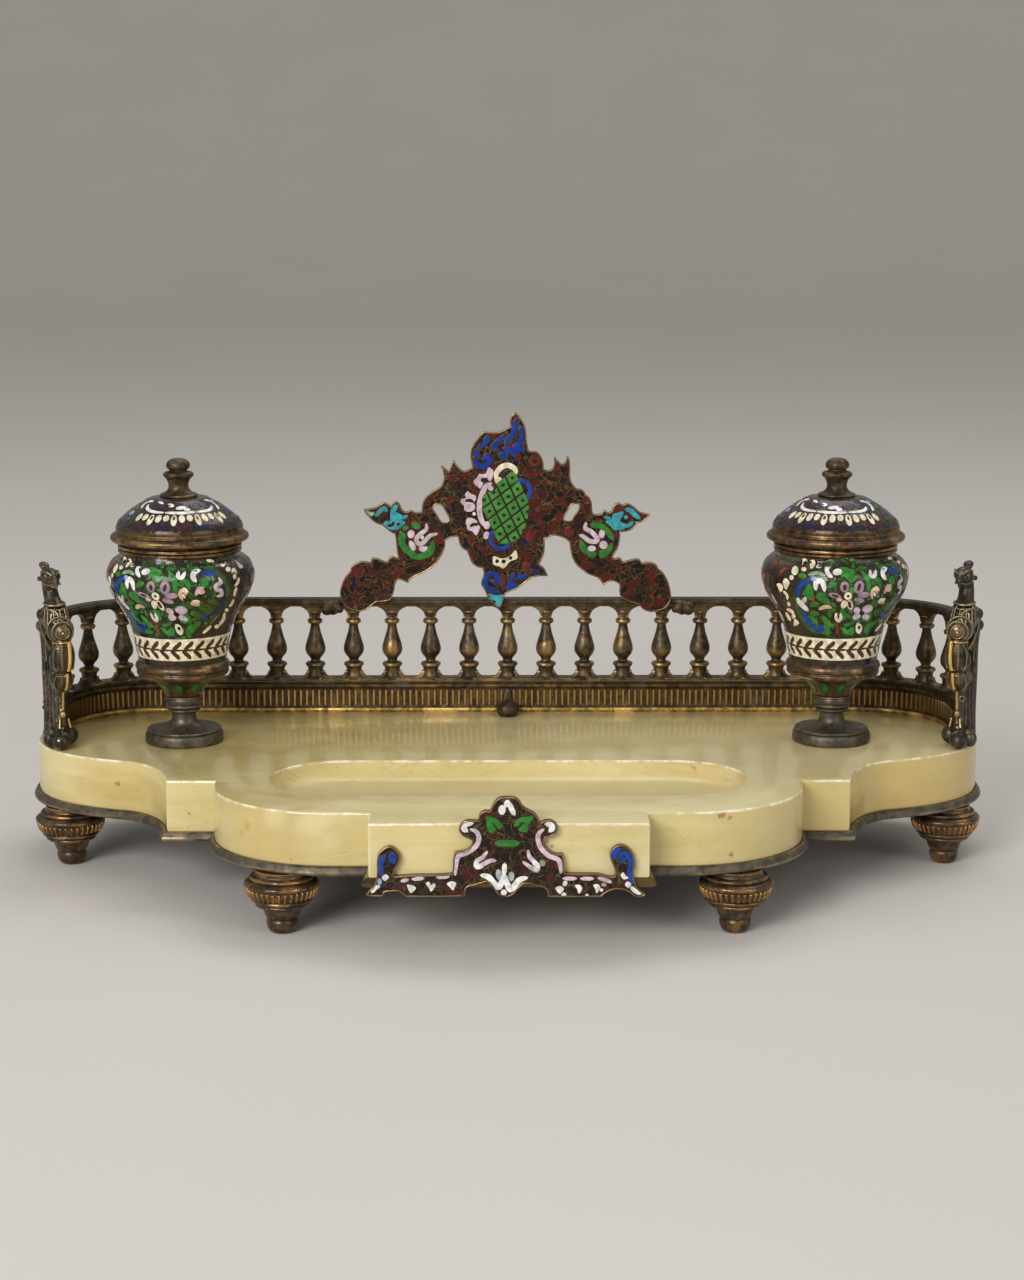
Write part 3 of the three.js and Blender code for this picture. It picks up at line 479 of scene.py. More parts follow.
def soften(piece, width, segments=2, degrees=35):
    apply_modifier(piece, "BEVEL", width=width * MM, segments=segments, limit_method="ANGLE",
                   angle_limit=math.radians(degrees), harden_normals=False)


def copied(piece, name, matrix):
    other = piece.copy()
    other.data = piece.data.copy()
    other.name = name
    bpy.context.scene.collection.objects.link(other)
    other.data.transform(matrix)
    if matrix.determinant() < 0:
        other.data.flip_normals()
    return other


def united(name, *pieces):
    pick_up(*pieces)
    if len(pieces) > 1:
        bpy.ops.object.join()
    pieces[0].name = name
    pieces[0].data.name = name
    return pieces[0]


def shift(x=0.0, y=0.0, z=0.0, turn=0.0):
    return Matrix.Translation(Vector((x, y, z)) * MM) @ Matrix.Rotation(turn, 4, "Z")


def flowing(rows, steps=4):
    """Points along rows of knots: each row is one smooth stretch, joined to the last by its ends."""
    points = []
    for row in rows:
        knots = ([points[-1]] if points else []) + [tuple(p) for p in row]
        if len(knots) < 3:
            points.extend(knots[1 if points else 0:])
            continue
        line = [knots[0]]
        for i in range(len(knots) - 1):
            a = knots[max(i - 1, 0)]
            b, c = knots[i], knots[i + 1]
            d = knots[min(i + 2, len(knots) - 1)]
            for k in range(1, steps + 1):
                t = k / steps
                line.append(tuple(
                    0.5 * (2 * q + (r - p) * t + (2 * p - 5 * q + 4 * r - s) * t * t
                           + (3 * q - p - 3 * r + s) * t ** 3)
                    for p, q, r, s in zip(a, b, c, d)))
        points.extend(line[1 if points else 0:])
    return points


def turned(name, profile, x=0.0, y=0.0, z=0.0, count=48):
    """A profile of radius and height drawn point by point, then spun round its upright axis."""
    put_down()
    bpy.ops.mesh.primitive_plane_add(size=MM)
    piece = bpy.context.object
    piece.name = name
    bpy.ops.object.mode_set(mode="EDIT")
    bpy.ops.mesh.merge(type="CENTER")
    before = Vector((0, 0, 0))
    for i, (radius, height) in enumerate(profile):
        here = Vector((x + radius, y, z + height)) * MM
        if i == 0:
            bpy.ops.transform.translate(value=here)
        else:
            bpy.ops.mesh.extrude_region_move(TRANSFORM_OT_translate={"value": here - before})
        before = here
    bpy.ops.mesh.select_all(action="SELECT")
    bpy.ops.mesh.spin(steps=count, angle=FULL, center=(x * MM, y * MM, 0), axis=(0, 0, 1))
    bpy.ops.mesh.select_all(action="SELECT")
    bpy.ops.mesh.remove_doubles(threshold=WELD)
    bpy.ops.mesh.normals_make_consistent(inside=False)
    leave()
    return piece


def drawn_face(name, points):
    """A filled circle whose rim is moved, point by point, onto a closed outline."""
    put_down()
    bpy.ops.mesh.primitive_circle_add(vertices=len(points), radius=MM, fill_type="NGON")
    piece = bpy.context.object
    piece.name = name
    for vertex, point in zip(piece.data.vertices, points):
        vertex.co = Vector(point) * MM
    return piece


def prism(name, points, direction):
    """An outline filled and extruded along a direction."""
    piece = drawn_face(name, points)
    edit(piece)
    bpy.ops.mesh.extrude_region_move(TRANSFORM_OT_translate={"value": Vector(direction) * MM})
    bpy.ops.mesh.select_all(action="SELECT")
    bpy.ops.mesh.normals_make_consistent(inside=False)
    leave()
    return piece


def raised(name, points, out, taper, middle):
    """A small rib: an outline filled, drawn out, and tapered about a middle."""
    piece = drawn_face(name, points)
    edit(piece)
    bpy.ops.mesh.extrude_region_move(TRANSFORM_OT_translate={"value": Vector(out) * MM})
    bpy.ops.transform.resize(value=taper, center_override=Vector(middle) * MM)
    bpy.ops.mesh.select_all(action="SELECT")
    bpy.ops.mesh.normals_make_consistent(inside=False)
    leave()
    return piece


def stacked(name, rings):
    """Rings of points, one above the other, bridged into a skin and capped at both ends."""
    mesh = bpy.data.meshes.new(name)
    piece = bpy.data.objects.new(name, mesh)
    bpy.context.scene.collection.objects.link(piece)
    size = len(rings[0])
    corners = [Vector(p) * MM for ring in rings for p in ring]
    faces = []
    for low in range(0, len(corners) - size, size):
        for i in range(size):
            j = (i + 1) % size
            faces.append((low + i, low + j, low + size + j, low + size + i))
    faces.append(tuple(range(size))[::-1])
    faces.append(tuple(range(len(corners) - size, len(corners))))
    mesh.from_pydata(corners, [], faces)
    tidy_faces(piece)
    return piece


def cut_out(piece, *cutters):
    for cutter in cutters:
        apply_modifier(piece, "BOOLEAN", operation="DIFFERENCE", object=cutter, solver="EXACT")
        bpy.data.objects.remove(cutter)
    return piece


def shown(piece, body, slot, *nodes):
    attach(piece, body)
    if nodes:
        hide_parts(*nodes)
    return piece


# Onyx slab and its tray


def curve_between(a, pull, b, steps=14):
    line = []
    for k in range(1, steps + 1):
        t = k / steps
        line.append(tuple((1 - t) ** 2 * p + 2 * t * (1 - t) * q + t * t * r for p, q, r in zip(a, pull, b)))
    return line


def slab_outline():
    """From the middle of the back round the right side to the middle of the front, and back."""
    right = [(0.0, BACK_Y), (HALF_WIDTH - CORNER, BACK_Y)]
    for k in range(1, 19):
        a = QUARTER * k / 18
        right.append((HALF_WIDTH - CORNER + CORNER * math.sin(a), BACK_Y - CORNER + CORNER * math.cos(a)))
    lobe = (157.0, -2.2)
    right.append((HALF_WIDTH, 43.8))
    right += curve_between((HALF_WIDTH, 43.8), (199.4, 10.8), lobe)
    right += curve_between(lobe, (141.0, -10.2), (137.0, -35.7), 10)
    right += [(117.3, -35.7), (117.3, -40.2)]
    for k in range(1, 21):
        a = QUARTER * k / 20
        right.append((66.3 + 51.0 * math.cos(a), -40.2 - 46.5 * math.sin(a)))
    right += [(BREAK_X, -86.7), (BREAK_X, BREAK_Y), (0.0, BREAK_Y)]
    left = [(-x, y) for x, y in right[1:-1]]
    return (right + left[::-1])[::-1]


def grown(outline, distance):
    """An outline moved outward by a distance, with mitred corners."""
    moved = []
    for i, (x, y) in enumerate(outline):
        here = Vector((x, y))
        onward = (Vector(outline[(i + 1) % len(outline)]) - here).normalized()
        inward = (here - Vector(outline[i - 1])).normalized()
        first = Vector((inward.y, -inward.x))
        second = Vector((onward.y, -onward.x))
        moved.append(tuple(here + (first + second) * distance / (1 + first.dot(second))))
    return moved


def at_level(outline, z):
    return [(x, y, z) for x, y in outline]


OUTLINE = slab_outline()


# The pen trough: its round ends, and how far in its wall has come at each depth
TROUGH_X = 66.5
TROUGH_Y = -30.7
TROUGH_RADIUS = 29.5
TROUGH_WALL = ((-0.6, -2.0), (-0.35, -0.12), (0.0, 0.32), (0.55, 1.4), (1.4, 2.9), (2.7, 4.6), (4.4, 6.0),
               (6.6, 7.0), (9.5, 7.5))


def make_slab():
    slab = prism("onyx_slab", at_level(OUTLINE, SLAB_Z), (0, 0, DECK_Z - SLAB_Z))
    soften(slab, 0.8, 3, 40)
    rings = []
    for inset, depth in TROUGH_WALL:
        radius = TROUGH_RADIUS - inset
        ring = []
        for side in (1, -1):
            for k in range(25):
                a = -QUARTER + math.pi * k / 24
                ring.append((side * (TROUGH_X + radius * math.cos(a)), TROUGH_Y + side * radius * math.sin(a),
                             DECK_Z - depth))
        rings.append(ring)
    cut_out(slab, stacked("scoop", rings))
    tidy_faces(slab)
    return coat(smooth(slab, 30), "onyx")


# The tray's moulding: how far it stands out from the slab at each height
TRAY_MOULDING = ((0.9, TRAY_Z), (1.7, 25.45), (2.3, 25.9), (2.45, 26.5), (2.3, 27.0), (1.95, 27.5), (1.6, 28.3),
                 (1.2, 28.8), (0.85, 29.05), (0.4, 29.1), (0.15, 28.95), (0.05, SLAB_Z))
STOP_X = 60
STOP_Y = -102.85


def make_tray():
    """The tray, its moulding stopped flat behind the front mount."""
    tray = stacked("bronze_tray", [at_level(grown(OUTLINE, out), z) for out, z in TRAY_MOULDING])
    corners = [(-STOP_X, -112, 20), (STOP_X, -112, 20), (STOP_X, STOP_Y, 20), (-STOP_X, STOP_Y, 20)]
    cut_out(tray, prism("stop", corners, (0, 0, 20)))
    tidy_faces(tray)
    coat(smooth(tray, 40), "greyed", "wire")
    # The flat cut faces behind the front mount take the darkest bronze as painted shade
    for face in tray.data.polygons:
        x, y, _ = face.center / MM
        face.material_index = 1 if abs(x) < STOP_X + 0.5 and y < STOP_Y + 0.25 else 0
    return tray


shown(make_slab(), "stand", "onyx", "onyx_plateau")
shown(make_tray(), "stand", "aged_bronze", "under_tray")


# Turned feet

FOOT_PROFILE = flowing([
    [(0, 0), (3.2, 0)],
    [(4.7, 0.5), (5.7, 1.9), (6.2, 3.8), (6.1, 5.0), (5.6, 5.8)],
    [(6.4, 6.4), (7.2, 8.4), (7.9, 10.0), (8.3, 10.6)],
    [(9.9, 10.8)],
    [(10.5, 11.3), (10.6, 11.9), (10.2, 12.4)],
    [(11.4, 12.7)],
    [(12.0, 13.3), (12.0, 13.9), (11.6, 14.4)],
    [(12.2, 14.9), (13.0, 16.0), (13.5, 17.4), (13.7, 18.6)],
    [(14.3, 18.9)],
    [(14.7, 19.5), (14.6, 20.3), (13.9, 21.0)],
    [(12.3, 21.5)],
    [(12.6, 22.0), (12.5, 22.7), (11.9, 23.1)],
    [(10.7, 23.3), (10.4, 24.2), (10.3, 25.3)],
    [(0, 25.3)],
], 3)


FOOT_REEDS = 36


def make_foot():
    foot = turned("turned_foot", FOOT_PROFILE)
    reed = raised("reed", [(12.1, -0.62, 14.7), (13.0, -0.72, 16.2), (13.55, -0.75, 18.7),
                           (13.55, 0.75, 18.7), (13.0, 0.72, 16.2), (12.1, 0.62, 14.7)],
                  (0.9, 0, -0.25), (1, 0.4, 0.86), (13.4, 0, 16.8))
    soften(reed, 0.22, 2, 30)
    reeds = [copied(reed, "reed", Matrix.Rotation(FULL * k / FOOT_REEDS, 4, "Z")) for k in range(FOOT_REEDS)]
    bpy.data.objects.remove(reed)
    return coat(smooth(united("turned_foot", foot, *reeds), 50), "copper")


foot = make_foot()
FOOT_PLACES = {
    "front_left": (-87.8, -76.2), "front_right": (87.8, -76.2),
    "side_left": (-185.4, 22.8), "side_right": (185.4, 22.8),
    "back_left": (-110.4, 79.8), "back_right": (110.4, 79.8),
}
for number, (where, (x, y)) in enumerate(FOOT_PLACES.items()):
    one = copied(foot, "turned_foot_" + where, shift(x, y, 0, 0.7 * number))
    shown(one, "stand", "aged_bronze", "foot_" + where)
bpy.data.objects.remove(foot)


# Gallery

BALUSTER_PITCH = 17.2
BALUSTERS_EACH_SIDE = 12
RIB_PITCH = 2.72
RIBS_EACH_SIDE = 83
FRIEZE_HALF = 3.7


def gallery_place(distance):
    """The place and the turn at a distance along the gallery from the middle of the back."""
    side = -1 if distance < 0 else 1
    along = abs(distance)
    bend = min(max((along - GALLERY_X) / GALLERY_RADIUS, 0), QUARTER)
    end = max(0, along - GALLERY_X - GALLERY_RADIUS * QUARTER)
    x = min(along, GALLERY_X) + GALLERY_RADIUS * math.sin(bend)
    y = GALLERY_Y - GALLERY_RADIUS + GALLERY_RADIUS * math.cos(bend) - end
    return side * x, y, side * bend


def gallery_moulding(name, half):
    """A section swept along the right half of the gallery by extrude and spin, then mirrored."""
    section = half + [(-across, up) for across, up in half[::-1]]
    piece = drawn_face(name, [(0, GALLERY_Y + across, up) for across, up in section])
    edit(piece)
    bpy.ops.mesh.delete(type="ONLY_FACE")
    bpy.ops.mesh.select_all(action="SELECT")
    bpy.ops.mesh.extrude_region_move(TRANSFORM_OT_translate={"value": (GALLERY_X * MM, 0, 0)})
    corner = (GALLERY_X * MM, (GALLERY_Y - GALLERY_RADIUS) * MM, 0)
    bpy.ops.mesh.spin(steps=16, angle=QUARTER, center=corner, axis=(0, 0, 1))
    bpy.ops.mesh.extrude_region_move(TRANSFORM_OT_translate={"value": (0, -GALLERY_RUN * MM, 0)})
    bpy.ops.mesh.edge_face_add()
    leave()
    apply_modifier(piece, "MIRROR", use_axis=(True, False, False), merge_threshold=WELD)
    tidy_faces(piece)
    return piece


def make_base():
    base = gallery_moulding("gallery_base_moulding", flowing([
        [(0, BASE_Z - 0.3), (4.3, BASE_Z - 0.3)],
        [(4.75, 50.5), (4.95, 51.2), (4.75, 51.9), (4.3, 52.2)],
        [(3.85, 52.4), (3.75, 52.9)],
        [(3.75, 60.6)],
        [(4.1, 60.9), (4.7, 61.5)],
        [(4.9, 61.8), (4.95, 62.3), (4.7, 62.7)],
        [(4.35, 62.9)],
        [(4.35, 64.0)],
        [(4.6, 64.15), (4.65, 64.6), (4.4, 65.0)],
        [(3.9, 65.3), (0, 65.3)],
    ], 3))
    rib = raised("rib", [(-0.45, 0, 53.0), (0.45, 0, 53.0), (0.78, 0, 53.7), (0.82, 0, 59.7), (0.45, 0, 60.5),
                         (-0.45, 0, 60.5), (-0.82, 0, 59.7), (-0.78, 0, 53.7)],
                 (0, -0.75, 0), (0.45, 1, 0.94), (0, 0, 56.8))
    ribs = []
    for k in range(-RIBS_EACH_SIDE, RIBS_EACH_SIDE + 1):
        x, y, bend = gallery_place(k * RIB_PITCH)
        for face in (0, math.pi):
            away = Matrix.Rotation(-bend + face, 4, "Z")
            ribs.append(copied(rib, "rib", shift(x, y) @ away @ shift(0, -FRIEZE_HALF, 0)))
    bpy.data.objects.remove(rib)
    whole = united("gallery_base_moulding", base, *ribs)
    coat(whole, "frieze", "fillet")
    for face in whole.data.polygons:
        z = face.center.z / MM
        face.material_index = 1 if z < 52.3 and abs(face.normal.z) < 0.9 else 0
    return smooth(whole, 40)


def make_rail():
    rail = gallery_moulding("gallery_rail", flowing([
        [(0, RAIL_Z - 0.2), (2.7, RAIL_Z - 0.2)],
        [(3.2, 98.2), (3.5, 98.9), (3.55, 99.8), (3.3, 100.5)],
        [(2.9, 100.7)],
        [(2.7, 101.2), (2.2, 101.35)],
        [(0, 101.4)],
    ], 3))
    return coat(smooth(rail, 40), "rail")


BALUSTER_PROFILE = flowing([
    [(0, 0), (5.0, 0)],
    [(4.3, 0.5), (3.6, 1.6), (3.35, 3.2), (3.5, 4.6), (3.9, 5.4)],
    [(4.3, 5.6), (4.5, 6.2), (4.2, 6.9)],
    [(3.0, 7.2)],
    [(2.2, 7.8), (2.1, 8.4)],
    [(2.7, 9.4), (4.0, 11.0), (4.55, 12.8), (4.3, 15.0), (3.4, 18.0), (2.5, 21.0), (1.95, 23.8)],
    [(2.0, 24.5)],
    [(2.9, 24.8), (3.4, 25.6), (3.2, 26.5)],
    [(2.5, 26.9)],
    [(2.3, 27.6), (2.4, 29.4)],
    [(2.5, 30.4), (0, 30.4)],
], 3)


def make_baluster():
    shaft = turned("baluster", BALUSTER_PROFILE, count=20)
    arch = [(2.2, 27.2)]
    for k in range(9):
        a = QUARTER * k / 8
        arch.append((8.8 - 6.4 * math.cos(a), 27.8 + 4.9 * math.sin(a)))
    head = arch + [(8.8, 33.0), (-8.8, 33.0)] + [(-x, z) for x, z in arch[::-1]]
    spandrel = prism("spandrel", [(x, 1.9, z) for x, z in head], (0, -3.8, 0))
    soften(spandrel, 0.35, 2, 30)
    foot_arch = []
    for k in range(7):
        a = QUARTER * k / 6
        foot_arch.append((7.6 - 3.6 * math.sin(a), 0.05 + 3.0 * (1 - math.cos(a))))
    skirt = foot_arch + [(-x, z) for x, z in foot_arch[::-1]]
    web = prism("web", [(x, 1.7, z) for x, z in skirt], (0, -3.4, 0))
    soften(web, 0.3, 2, 30)
    return coat(smooth(united("baluster", shaft, spandrel, web), 35), "bronze")


shown(make_base(), "stand", "gilt_bronze", "gallery_base")
shown(make_rail(), "stand", "aged_bronze", "gallery_top_rail")
model = make_baluster()
for k in range(-BALUSTERS_EACH_SIDE, BALUSTERS_EACH_SIDE + 1):
    x, y, bend = gallery_place(k * BALUSTER_PITCH)
    number = f"{k + BALUSTERS_EACH_SIDE + 1:02d}"
    one = copied(model, "turned_baluster_" + number, shift(x, y, BALUSTER_Z - 0.1, -bend))
    shown(one, "stand", "aged_bronze", "baluster_" + number)
bpy.data.objects.remove(model)


def make_bud():
    knob = turned("bud", flowing([
        [(0, -0.3), (3.6, -0.3)],
        [(4.6, 0.9), (5.0, 2.2), (4.6, 4.2), (3.2, 5.6), (1.4, 6.3), (0, 6.5)],
    ], 4), 0, 84.3, BASE_Z, 32)
    stem = prism("stem", [(-1.4, 91.2, 53.0), (1.4, 91.2, 53.0), (1.9, 91.2, 56.0), (1.3, 91.2, 59.4),
                          (0, 91.2, 61.2), (-1.3, 91.2, 59.4), (-1.9, 91.2, 56.0)], (0, -1.5, 0))
    neck = prism("neck", [(-1.5, 90.6, 54.6), (-1.5, 90.6, 51.6), (1.5, 90.6, 51.6), (1.5, 90.6, 54.6)], (0, -5, 0))
    soften(stem, 0.4, 3)
    soften(neck, 0.5, 3)
    return coat(smooth(united("gallery_bud_ornament", knob, stem, neck), 40), "rail")


shown(make_bud(), "stand", "aged_bronze", "gallery_bud")


# Urns

URN_FOOT = flowing([
    [(0, -0.3), (15.9, -0.3)],
    [(16.5, 0.2), (16.6, 2.0), (16.3, 3.6), (15.9, 4.3)],
    [(15.3, 4.5)],
    [(15.6, 4.9), (15.6, 5.5), (15.0, 5.8)],
    [(13.6, 5.5), (10.6, 5.7), (8.0, 6.5), (6.2, 7.7), (5.3, 9.4), (5.1, 11.2), (5.2, 12.6)],
    [(6.3, 12.9)],
    [(6.9, 13.3), (6.9, 13.9), (6.4, 14.3)],
    [(6.9, 14.6)],
    [(7.6, 15.0), (7.7, 15.7), (7.3, 16.2)],
    [(7.6, 16.6), (7.9, 17.4), (7.9, 18.3), (7.6, 19.0)],
    [(7.3, 19.7), (0, 19.7)],
], 4)
URN_CUP = flowing([
    [(0, 0), (7.2, 0)],
    [(8.0, 0.7), (8.8, 2.2), (10.2, 4.4), (12.6, 6.7), (15.4, 8.3)],
    [(17.0, 8.9)],
    [(18.6, 9.3), (19.4, 10.2), (19.5, 11.0), (19.1, 11.6)],
    [(19.0, 11.9)],
    [(19.8, 12.5), (20.0, 13.5), (19.6, 14.6)],
    [(19.2, 15.0), (18.6, 15.6)],
    [(0, 15.6)],
], 4)
BODY_SKIN = flowing([
    [(18.5, 0), (18.8, 1.4), (19.2, 4.6), (20.0, 9.4), (21.3, 14.4), (23.3, 19.4), (26.0, 24.2),
     (28.6, 28.4), (30.3, 32.4), (31.0, 36.0), (30.6, 39.4), (29.2, 42.2), (27.4, 44.0), (26.4, 44.6)],
], 3)
BODY = [(0, 0)] + BODY_SKIN + flowing([
    [(25.6, 44.7), (20.0, 44.7)],
    [(19.3, 44.5), (19.0, 44.0), (19.0, 43.0)],
    [(20.6, 41.8), (25.0, 40.6), (28.2, 37.4), (28.2, 33.4), (25.8, 27.4), (22.0, 21.0), (19.2, 14.0),
     (17.6, 8.0), (17.0, 4.0)],
    [(16.6, 3.4), (0, 3.4)],
], 3)
COLLAR = flowing([
    [(21.4, 0), (24.9, 0)],
    [(24.7, 1.0), (24.8, 1.7)],
    [(25.5, 1.9), (25.9, 2.5), (25.8, 3.2), (25.5, 3.5)],
    [(21.5, 3.5)],
], 3)
LID_RIM = flowing([
    [(18.6, 7.5), (18.6, -1.3)],
    [(18.9, -1.6), (20.5, -1.6)],
    [(20.8, -1.3), (20.8, 0)],
    [(25.4, 0)],
    [(25.9, 0.3), (25.9, 1.1), (25.4, 1.6)],
    [(24.9, 1.9), (25.0, 2.4)],
    [(27.2, 2.6), (28.6, 3.2), (29.0, 4.2), (28.6, 5.3), (27.4, 5.9)],
    [(26.9, 6.2), (26.8, 6.8), (26.7, 7.4)],
    [(25.0, 7.5)],
], 3)
DOME_SKIN = flowing([
    [(26.5, 0), (26.6, 1.2), (26.2, 2.5)],
    [(25.4, 3.6), (24.0, 5.1), (21.5, 7.2), (17.6, 9.9), (14.6, 11.8), (12.9, 12.8)],
    [(12.0, 13.2), (10.0, 13.5), (7.0, 13.7)],
], 5)
DOME = [(0, 0)] + DOME_SKIN + [(0, 13.7)]
FINIAL = flowing([
    [(0, -0.2), (7.4, -0.2)],
    [(7.9, 0.2), (7.8, 0.8), (7.1, 1.2)],
    [(6.0, 1.6), (4.8, 2.6), (4.2, 4.0), (4.3, 5.6)],
    [(4.9, 6.9), (5.5, 7.7)],
    [(5.9, 8.0)],
    [(6.4, 8.8), (6.2, 9.7), (5.2, 10.3)],
    [(4.0, 10.6), (3.6, 11.2)],
    [(4.6, 11.7), (5.0, 12.8), (4.6, 14.2), (3.2, 15.4), (1.4, 15.9), (0, 16.0)],
], 4)
POT = flowing([
    [(0, 0), (14.8, 0)],
    [(15.6, 0.6), (16.6, 7.0), (18.0, 13.0), (18.2, 14.6)],
    [(18.2, 37.4), (18.2, 38.7)],
    [(20.6, 38.7)],
    [(20.9, 39.2), (20.8, 39.8), (20.3, 40.1)],
    [(17.0, 40.1)],
    [(16.2, 39.7), (16.0, 39.0)],
    [(16.0, 15.0)],
    [(15.4, 12.0), (14.4, 6.0), (13.6, 2.6)],
    [(12.0, 2.0), (0, 2.0)],
], 3)


# The node that each turned piece stands for, its profile, height, look and slot, then for some a second look and
# the levels that have it
URN_PIECES = (
    ("urn_foot", URN_FOOT, BASE_Z, "greyed", "aged_bronze"),
    ("urn_cup", URN_CUP, CUP_Z, "copper", "aged_bronze"),
    ("urn_body", BODY, BODY_Z, "body", "green_enamel"),
    ("urn_collar", COLLAR, COLLAR_Z, "collar", "gilt_bronze", "body", (-1, 1.7)),
    ("ink_pot", POT, POT_Z, "ware", "glazed_pottery"),
    ("lid_rim", LID_RIM, LID_Z, "copper", "aged_bronze", "collar", (1.5, 2.5), (5.8, 9)),
    ("lid_dome", DOME, DOME_Z, "dome", "dark_enamel", "collar", (-1, 1.8)),
    ("lid_finial", FINIAL, FINIAL_Z, "bronze", "aged_bronze"),
)


def make_urn(side, x):
    """The turned pieces of one urn, each standing for its own node."""
    for label, profile, z, look, slot, *second in URN_PIECES:
        closed = profile + [profile[0]] if profile[0][0] > 0 else profile
        piece = turned(f"{side}_turned_{label}", closed, x, URN_Y, z, 72)
        coat(smooth(piece, 30), look, *second[:1])
        for face in piece.data.polygons:
            level = face.center.z / MM - z
            face.material_index = 1 if any(low < level < high for low, high in second[1:]) else 0
        shown(piece, side + "_lid" if label.startswith("lid") else "stand", slot, f"{side}_{label}")


make_urn("left", -URN_X)
make_urn("right", URN_X)
for side in ("left", "right"):
    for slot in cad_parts[side + "_urn_stud"].material_slots:
        slot.material = finish["steel"]


# Crest, its clasps, and the front mount. Outlines are points at the photograph's scale, and each line is one
# smooth stretch that starts where the last one ends. A backslash joins a long line to the next.

CREST_ROWS = """
516.5,415
521,420 525,427 526.5,434 527,441 528,447 529,452
531,453 536,453 541,457 543.5,463 544,470.5
548,472 552,470.5 554.5,466
554.5,460 555,458.5
558,462 562,466
565,464 567,460 567.5,457.5
569.5,460 570.5,468 570.5,478 573,485 577,489.5
582,490.5 585,493 586.5,496
590,498.5 592,503 592.5,509 593.5,514.5
597,515.5 602,514.5
603.5,512 606,511.5 608,513.5
612,512 614,507
616,505 619.5,504 623,506
627,504.5 631,505.5 636,509 641,513 647,514.5 650.5,515
648,519 643,522.5 638,523.5
635,528 630,531.5 624,532.5 621,533.5
620.5,540 619,548 615,555 613.5,559
616,559.5 619,558.5 622.5,560 623.5,563
630,561 637,559.5 641,560.5 643,564
648,562.8 654,563.5 658,566 659.5,569.5
664,573 668,579 671,587 672.5,595 672.5,601
668,608 660,611.5 652,612.5 645,610 640,605
633,603 626,600 621.5,596 620.5,590
621,586 618,583 613,581.5 608.5,583 605,586
602,582 598,578 590,575 583,570.5 577,565 573,558 571,550 570,543
566,539.5 560,537 554,536 549,538 545,539.5
545.3,546 544.5,554 542,561 540,565.5
544,568 546.5,572 548.5,576.5
542,576.5 535,577.5 529,580.5 523,585 517,589.5 510,592 506,594.5
504,598 503,603 498.5,608.5
495,606 489,599.5 486.5,594
484,589 481.5,585 482,580 484,575 483.5,571 482.5,568.5
477,567 472,563 469.5,557 467.5,551.5
463,549 460,544.5 459,540 458,537
453,537.5 449,539 445.5,541.5
445,548 441,557 435,565 428,570.5 420,574.5 412,578.5 408,583.5
404,581.5 400,580 397,581.5 394.5,585
394,590 392.5,595 390,600.5
384,602 376,602.5
371,606 366,610 359,611.8 352,610.5 346,607.5 341.5,603
340,598 339.5,592 341.5,584 345,577 350,571.5 350.5,568
353,565.5 359,562.5 365,562 370,563.5
371,560.5 372,558.5 377,559 383,561.5 387,562.5
389,558.5 392,557 396,558.5 398.5,559.5
397.5,554 396.5,547 396,540 395,534.5
391,532.5 386.5,529 382.5,525.5
377,524 372,520.5 368,515.5 364,510.5
370,509.5 376,508 381,505 385,503.5 390.5,507
393,504 396.5,502.5 400,505 402,509.5 405,512.5
408,512.5 411,511 415,513 422,513
422.5,507 424,501 428,496 433,492.5 437,490.5
441,487.5 443.5,483 444.5,478 443.5,472 442,467
446,470 449,473
451,469 453,464 454.5,461.5
457,466 461,470.5 464,472.5
468,471.5 473,468.5
472,464 471,458 472,450 476,443 480,437.5
484,434 489,434 493,434.5 499,434 505,431.5 511,428.5
510.5,424 511.5,419 514,416
"""
CREST_SLOTS = """
433,508 435.5,505 440,504.5 443.5,507 446.5,512 450,518.5 449.5,521.5 446,523.5 442,523 439,519 436,514 433,510
571,506 574,504.2 579,504.5 580.5,507 579,511 575,517 572,521.5 567,522 564,520.5 564.5,517 567.5,511.5
"""
MOUNT_ROWS = """
509,797.5
516,798 521,802 524,807 530,810.5
536,814 540,820 541.5,823
543.5,821.5 549,820 555,822 558.5,827.5 557,833.5 551.5,836.5 547,837.5
545,841 546,845.5 550,850 556,853.5 563.5,853.5
565,860 565.5,867 566,873
580,873.5 595,873.5 603,874.5 610,876.5 615.5,876
616,871 613.5,864 611,857 612,850.5 617,846 623,845 629,847.5 634,854 635.5,862 635,871 635.5,880 638.5,887.5 \
643,891.5 647,894.5
643,896.5 636,896 631,892.5 624,889.5 615,889.5 608,892 602,896.5
575,896.8 549.5,896.5
548,891 545,887.5 538,885.5 530,883.5 524,884
519,889 515,893.5 509,896.8
500,894.5 495,889 491,883 487,881.5
482,883 475,885 469,886.5 466.5,890 466,896
436,896.5 407,896.3
404,894 399,891 392,891 385.5,892 384,896
372,895.8 366.5,894.5
370,890 374,886 377,879 378,871 378,862 379.5,854 385,848 391,846 396.5,848.5 400.5,853.5 401,860 398,866 395.5,871 \
395,876
400,875.5 415,874.5 430,874.5 445,874 453,873.5
454,866 454.5,858 456,852
464,851 469,849 472.5,845 473.5,841 471,838.5
467.5,837.5 462.5,834.5 460,829 462.5,824 468,820.5 475,820.5 479.5,820.5
480,816.5 482,813 486,811 490,811.5
492,809 495,803 500,798.5 505,797.5
"""


def read_points(words):
    return [tuple(map(float, word.split(","))) for word in words]


def read_rows(table):
    return [read_points(line.split()) for line in table.strip().splitlines()]


# From the photograph's scale to millimetres: middle column, lowest row, and points to a millimetre across and up
CREST_SCALE = (508.0, 609.0, 2.27, 2.229)
MOUNT_SCALE = (510.0, 896.8, 2.665, 2.565)


def on_crest(u, v):
    middle, low, across, up = CREST_SCALE
    return (u - middle) / across, CREST_Z + 0.4 + (low - v) / up


